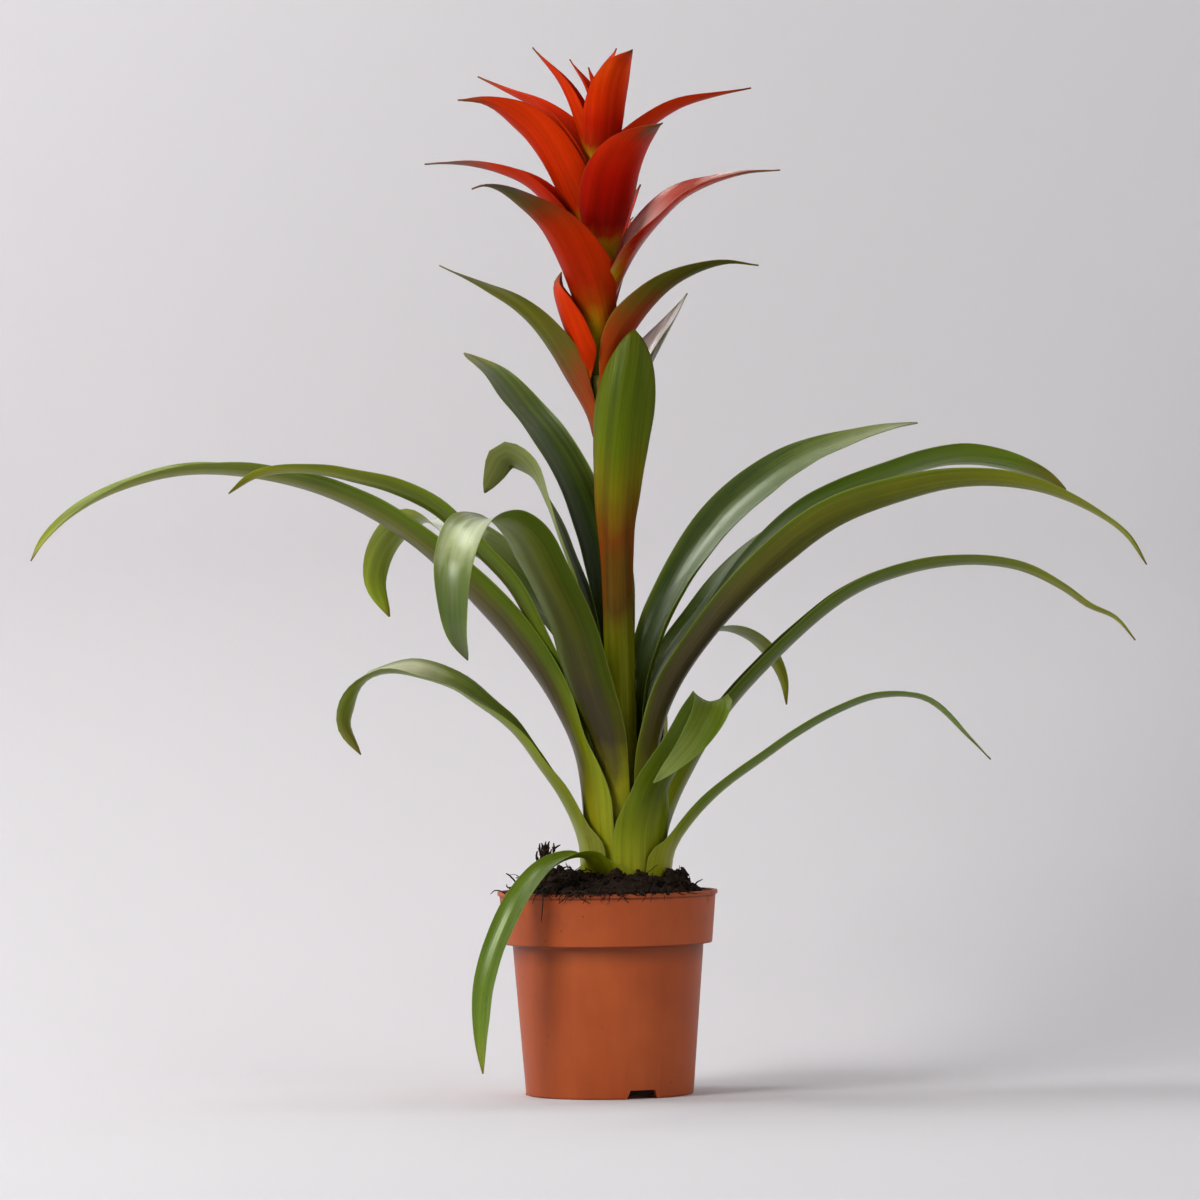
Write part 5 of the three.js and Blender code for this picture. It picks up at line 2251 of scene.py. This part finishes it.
    @staticmethod
    def _earth(name: str, dark: str, light: str) -> Material:
        """Makes damp peat.

        Args:
            name: The material's name.
            dark: Colour of its hollows.
            light: Colour of its dry crumbs.

        Returns:
            The material.
        """
        material = bpy.data.materials.new(name)
        graph = Graph(material)
        place = graph.place()
        coarse = graph.noise(place, 160.0, 5.0)
        fine = graph.noise(place, 900.0, 4.0)
        both = graph.plus(graph.times(coarse, 0.5), graph.times(fine, 0.5))
        tones = {0.35: dark, 0.55: light, 0.72: "3e2c1e"}
        graph.put("Base Color", graph.ramp(both, tones))
        graph.put("Roughness", graph.contrast(coarse, 0.7, 0.95))
        graph.bump(both, 0.9, 0.0012)
        graph.put("Specular IOR Level", 0.15)
        return material


@dataclass(frozen=True)
class Stem:
    """The short stem in the peat and the scape that leans up through the plant, in one skin.

    Attributes:
        sides: Points in each ring.
        step: Height between rings on the scape, in millimetres.
    """

    sides: int = 28
    step: float = 6.0

    FOOT = ((0.05, 116.0), (26.0, 116.0), (28.0, 118.4), (16.0, 142.4), (4.6, 165.2))
    STRAIGHT_TO = 185.0
    TONE_HEIGHTS = (0.12, 0.6)
    TONES = {
        0: "4e3a22", 0.06: "5d5a26", 0.5: "6f7a30", 0.75: "8f9428", 0.86: "a3581c", 1: "a52c0a",
    }

    def build(self) -> Object:
        """Builds the stem.

        Returns:
            The stem's object.
        """
        offset = np.array([PLANT_X, 0.0, 0.0])
        rows = [ring + offset for ring in turned(self.FOOT, self.sides)]
        for height in np.arange(self.STRAIGHT_TO, SCAPE_TOP + 0.1, self.step):
            ring = turned([(scape_radius(height), height)], self.sides)[0]
            rows.append(ring + np.array([scape_x(height), 0.0, 0.0]))
        tip = turned([(1.0, SCAPE_TOP + 1.0)], self.sides)[0]
        rows.append(tip + np.array([scape_x(SCAPE_TOP), 0.0, 0.0]))
        mesh = loft("scape", rows)
        mesh.materials.append(self._skin())
        return stand_for("scape", mesh, "stem", "stem")

    def _skin(self) -> Material:
        """Makes the skin: brown in the peat, green up the scape, yellow and red in the head.

        Returns:
            The material.
        """
        material = bpy.data.materials.new("stem_skin")
        graph = Graph(material)
        place = graph.place()
        rise = graph.span(graph.axes(place)[2], *self.TONE_HEIGHTS)
        lanes = graph.noise(graph.scaled(place, (1.0, 1.0, 0.05)), 700.0, 2.0)
        base = graph.shaded(graph.ramp(rise, self.TONES), graph.contrast(lanes, 0.8, 1.15), 0.6)
        graph.put("Base Color", base)
        graph.put("Roughness", graph.contrast(lanes, 0.38, 0.55))
        graph.bump(lanes, 0.4, 0.0004)
        return material


@dataclass(frozen=True)
class Softbox:
    """A soft rectangular light that faces the plant.

    Attributes:
        name: Its name.
        spot: Where it hangs, in metres.
        size: Its width and height.
        watts: Its power.
        tint: Its colour.
    """

    name: str
    spot: Point
    size: Point
    watts: float
    tint: Point

    AIM = (0.0, 0.0, 0.3)

    def hang(self) -> None:
        """Adds the light to the scene."""
        data = bpy.data.lights.new(self.name, "AREA")
        data.shape = "RECTANGLE"
        data.size, data.size_y = self.size
        data.energy = self.watts
        data.color = self.tint
        light = placed(self.name, data)
        light.location = self.spot
        facing = Vector(self.AIM) - Vector(self.spot)
        light.rotation_euler = facing.to_track_quat("-Z", "Y").to_euler()


@dataclass(frozen=True)
class Studio:
    """Pale sweep, soft lights and the camera at the photograph's angle.

    The sweep is one-sided: its outer side is clear, so that the plant is seen from behind as well.

    Attributes:
        eye: Where the camera stands, in millimetres.
        target: The point it looks at.
        lean: How far it is turned about its view, in degrees.
        focal_pixels: Focal length in pixels of the 1200-pixel frame.
    """

    eye: Point = (-2.3, -3200.0, 238.0)
    target: Point = (-2.3, 0.0, 291.5)
    lean: float = 0.7
    focal_pixels: float = 5414.4

    FRAME_PIXELS = 1200.0
    SENSOR = 36.0
    CLIP_END = 50.0
    # The sweep in metres: where it starts to curve, how tightly, and its edges
    SWEEP_FROM = 0.16
    SWEEP_RADIUS = 0.34
    SWEEP_STEPS = 24
    SWEEP_TOP = 3.2
    SWEEP_FRONT = -4.2
    SWEEP_HALF_WIDTH = 3.4
    FADE_FROM = 1.3
    FADE_TO = 2.9
    PAPER_TONES = {0.2: "d6d3d6", 0.8: "dad8da"}
    PAPER_ROUGHNESS = 0.9
    SURROUNDINGS_TINT = (0.97, 0.97, 1.0, 1.0)
    SURROUNDINGS = 0.29
    SURROUNDINGS_SEEN = 0.8
    SOFTBOXES = (
        Softbox("key", (-1.75, -1.45, 1.35), (0.9, 1.1), 38.0, (1.0, 0.99, 0.97)),
        Softbox("top", (-0.75, 0.5, 1.9), (1.3, 1.0), 33.0, (1.0, 1.0, 1.0)),
        Softbox("fill", (1.7, -1.5, 1.0), (0.9, 1.2), 8.0, (0.97, 0.98, 1.0)),
    )

    def build(self) -> None:
        """Builds the camera, the sweep, the lights and the pale surroundings."""
        self._camera()
        self._sweep()
        for softbox in self.SOFTBOXES:
            softbox.hang()
        self._surroundings()
        bpy.context.scene.view_settings.view_transform = "Standard"

    def _camera(self) -> None:
        """Makes the camera and points it as the photograph's stood."""
        eye, target = np.array(self.eye), np.array(self.target)
        forward = (target - eye) / np.linalg.norm(target - eye)
        right = np.cross(forward, np.array([0.0, 0.0, 1.0]))
        right /= np.linalg.norm(right)
        above = np.cross(right, forward)
        lean = math.radians(self.lean)
        across = right * math.cos(lean) - above * math.sin(lean)
        up = right * math.sin(lean) + above * math.cos(lean)
        data = bpy.data.cameras.new("camera")
        data.sensor_width = self.SENSOR
        data.lens = self.focal_pixels * self.SENSOR / self.FRAME_PIXELS
        data.clip_end = self.CLIP_END
        camera = placed("camera", data)
        turn = Matrix([list(axis) for axis in zip(across, up, -forward)])
        camera.matrix_world = Matrix.Translation(Vector(eye * MM)) @ turn.to_4x4()
        bpy.context.scene.camera = camera

    def _sweep(self) -> None:
        """Makes the floor that curves up into the backdrop, and the floor behind it."""
        profile = [(self.SWEEP_FRONT, 0.0), (-1.0, 0.0), (0.0, 0.0), (self.SWEEP_FROM, 0.0)]
        for step in range(1, self.SWEEP_STEPS + 1):
            turn = math.pi / 2.0 * step / self.SWEEP_STEPS
            y = self.SWEEP_FROM + self.SWEEP_RADIUS * math.sin(turn)
            profile.append((y, self.SWEEP_RADIUS * (1.0 - math.cos(turn))))
        profile.append((self.SWEEP_FROM + self.SWEEP_RADIUS, self.SWEEP_TOP))
        points, faces = [], []
        for x in (-self.SWEEP_HALF_WIDTH, self.SWEEP_HALF_WIDTH):
            points.extend((x, y, z) for y, z in profile)
        size = len(profile)
        for index in range(size - 1):
            faces.append((index, size + index, size + index + 1, index + 1))
        behind = len(points)
        for y in (self.SWEEP_FROM, -self.SWEEP_FRONT):
            points.extend(((-self.SWEEP_HALF_WIDTH, y, 0.0), (self.SWEEP_HALF_WIDTH, y, 0.0)))
        faces.append((behind, behind + 1, behind + 3, behind + 2))
        mesh = bpy.data.meshes.new("sweep")
        mesh.from_pydata(points, [], faces)
        mesh.shade_smooth()
        mesh.materials.append(self._paper())
        sweep = placed("sweep", mesh)
        sweep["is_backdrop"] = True

    def _paper(self) -> Material:
        """Makes the sweep's pale paper, clear on its outer side and faded out far from the plant.

        Returns:
            The material.
        """
        material = bpy.data.materials.new("sweep_paper")
        graph = Graph(material)
        place = graph.place()
        tone = graph.ramp(graph.noise(place, 1.1, 1.0), self.PAPER_TONES)
        graph.put("Base Color", tone)
        graph.put("Roughness", self.PAPER_ROUGHNESS)
        nodes = graph.tree.nodes
        x, y, _ = graph.axes(place)
        away = nodes.new("ShaderNodeVectorMath")
        away.operation = "LENGTH"
        graph.feed(away.inputs[0], graph.vector(x, y, 0.0))
        far = graph.span(away.outputs["Value"], self.FADE_FROM, self.FADE_TO)
        outer = nodes.new("ShaderNodeNewGeometry").outputs["Backfacing"]
        blend = nodes.new("ShaderNodeMixShader")
        graph.feed(blend.inputs[0], graph.math("MAXIMUM", far, outer))
        graph.feed(blend.inputs[1], graph.shader.outputs["BSDF"])
        graph.feed(blend.inputs[2], nodes.new("ShaderNodeBsdfTransparent").outputs["BSDF"])
        graph.feed(nodes["Material Output"].inputs["Surface"], blend.outputs["Shader"])
        return material

    def _surroundings(self) -> None:
        """Makes the pale surroundings, which look brighter than the light that they give."""
        world = bpy.data.worlds.new("surroundings")
        world.use_nodes = True
        tree = world.node_tree
        background = tree.nodes["Background"]
        background.inputs["Color"].default_value = self.SURROUNDINGS_TINT
        strength = tree.nodes.new("ShaderNodeMapRange")
        strength.inputs["To Min"].default_value = self.SURROUNDINGS
        strength.inputs["To Max"].default_value = self.SURROUNDINGS_SEEN
        seen = tree.nodes.new("ShaderNodeLightPath").outputs["Is Camera Ray"]
        tree.links.new(seen, strength.inputs["Value"])
        tree.links.new(strength.outputs["Result"], background.inputs["Strength"])
        bpy.context.scene.world = world


class SizeRecord:
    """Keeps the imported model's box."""

    def __init__(self) -> None:
        """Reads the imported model's box."""
        self.packed = self._box()

    @staticmethod
    def _box() -> list[list[float]]:
        """Reads the box of what is shown now.

        Returns:
            Its lowest and highest corners, in metres.
        """
        return [list(corner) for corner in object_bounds()]

    def write(self) -> None:
        """Does nothing; no box is written."""


def main() -> None:
    """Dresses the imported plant."""
    logging.basicConfig(level=logging.INFO, format="%(name)s: %(message)s")
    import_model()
    sizes = SizeRecord()
    Studio().build()
    Pot().build()
    Peat().build()
    Stem().build()
    for blade in (*LEAVES, *BRACTS):
        blade.build()
    sizes.write()


if __name__ == "__main__":
    main()
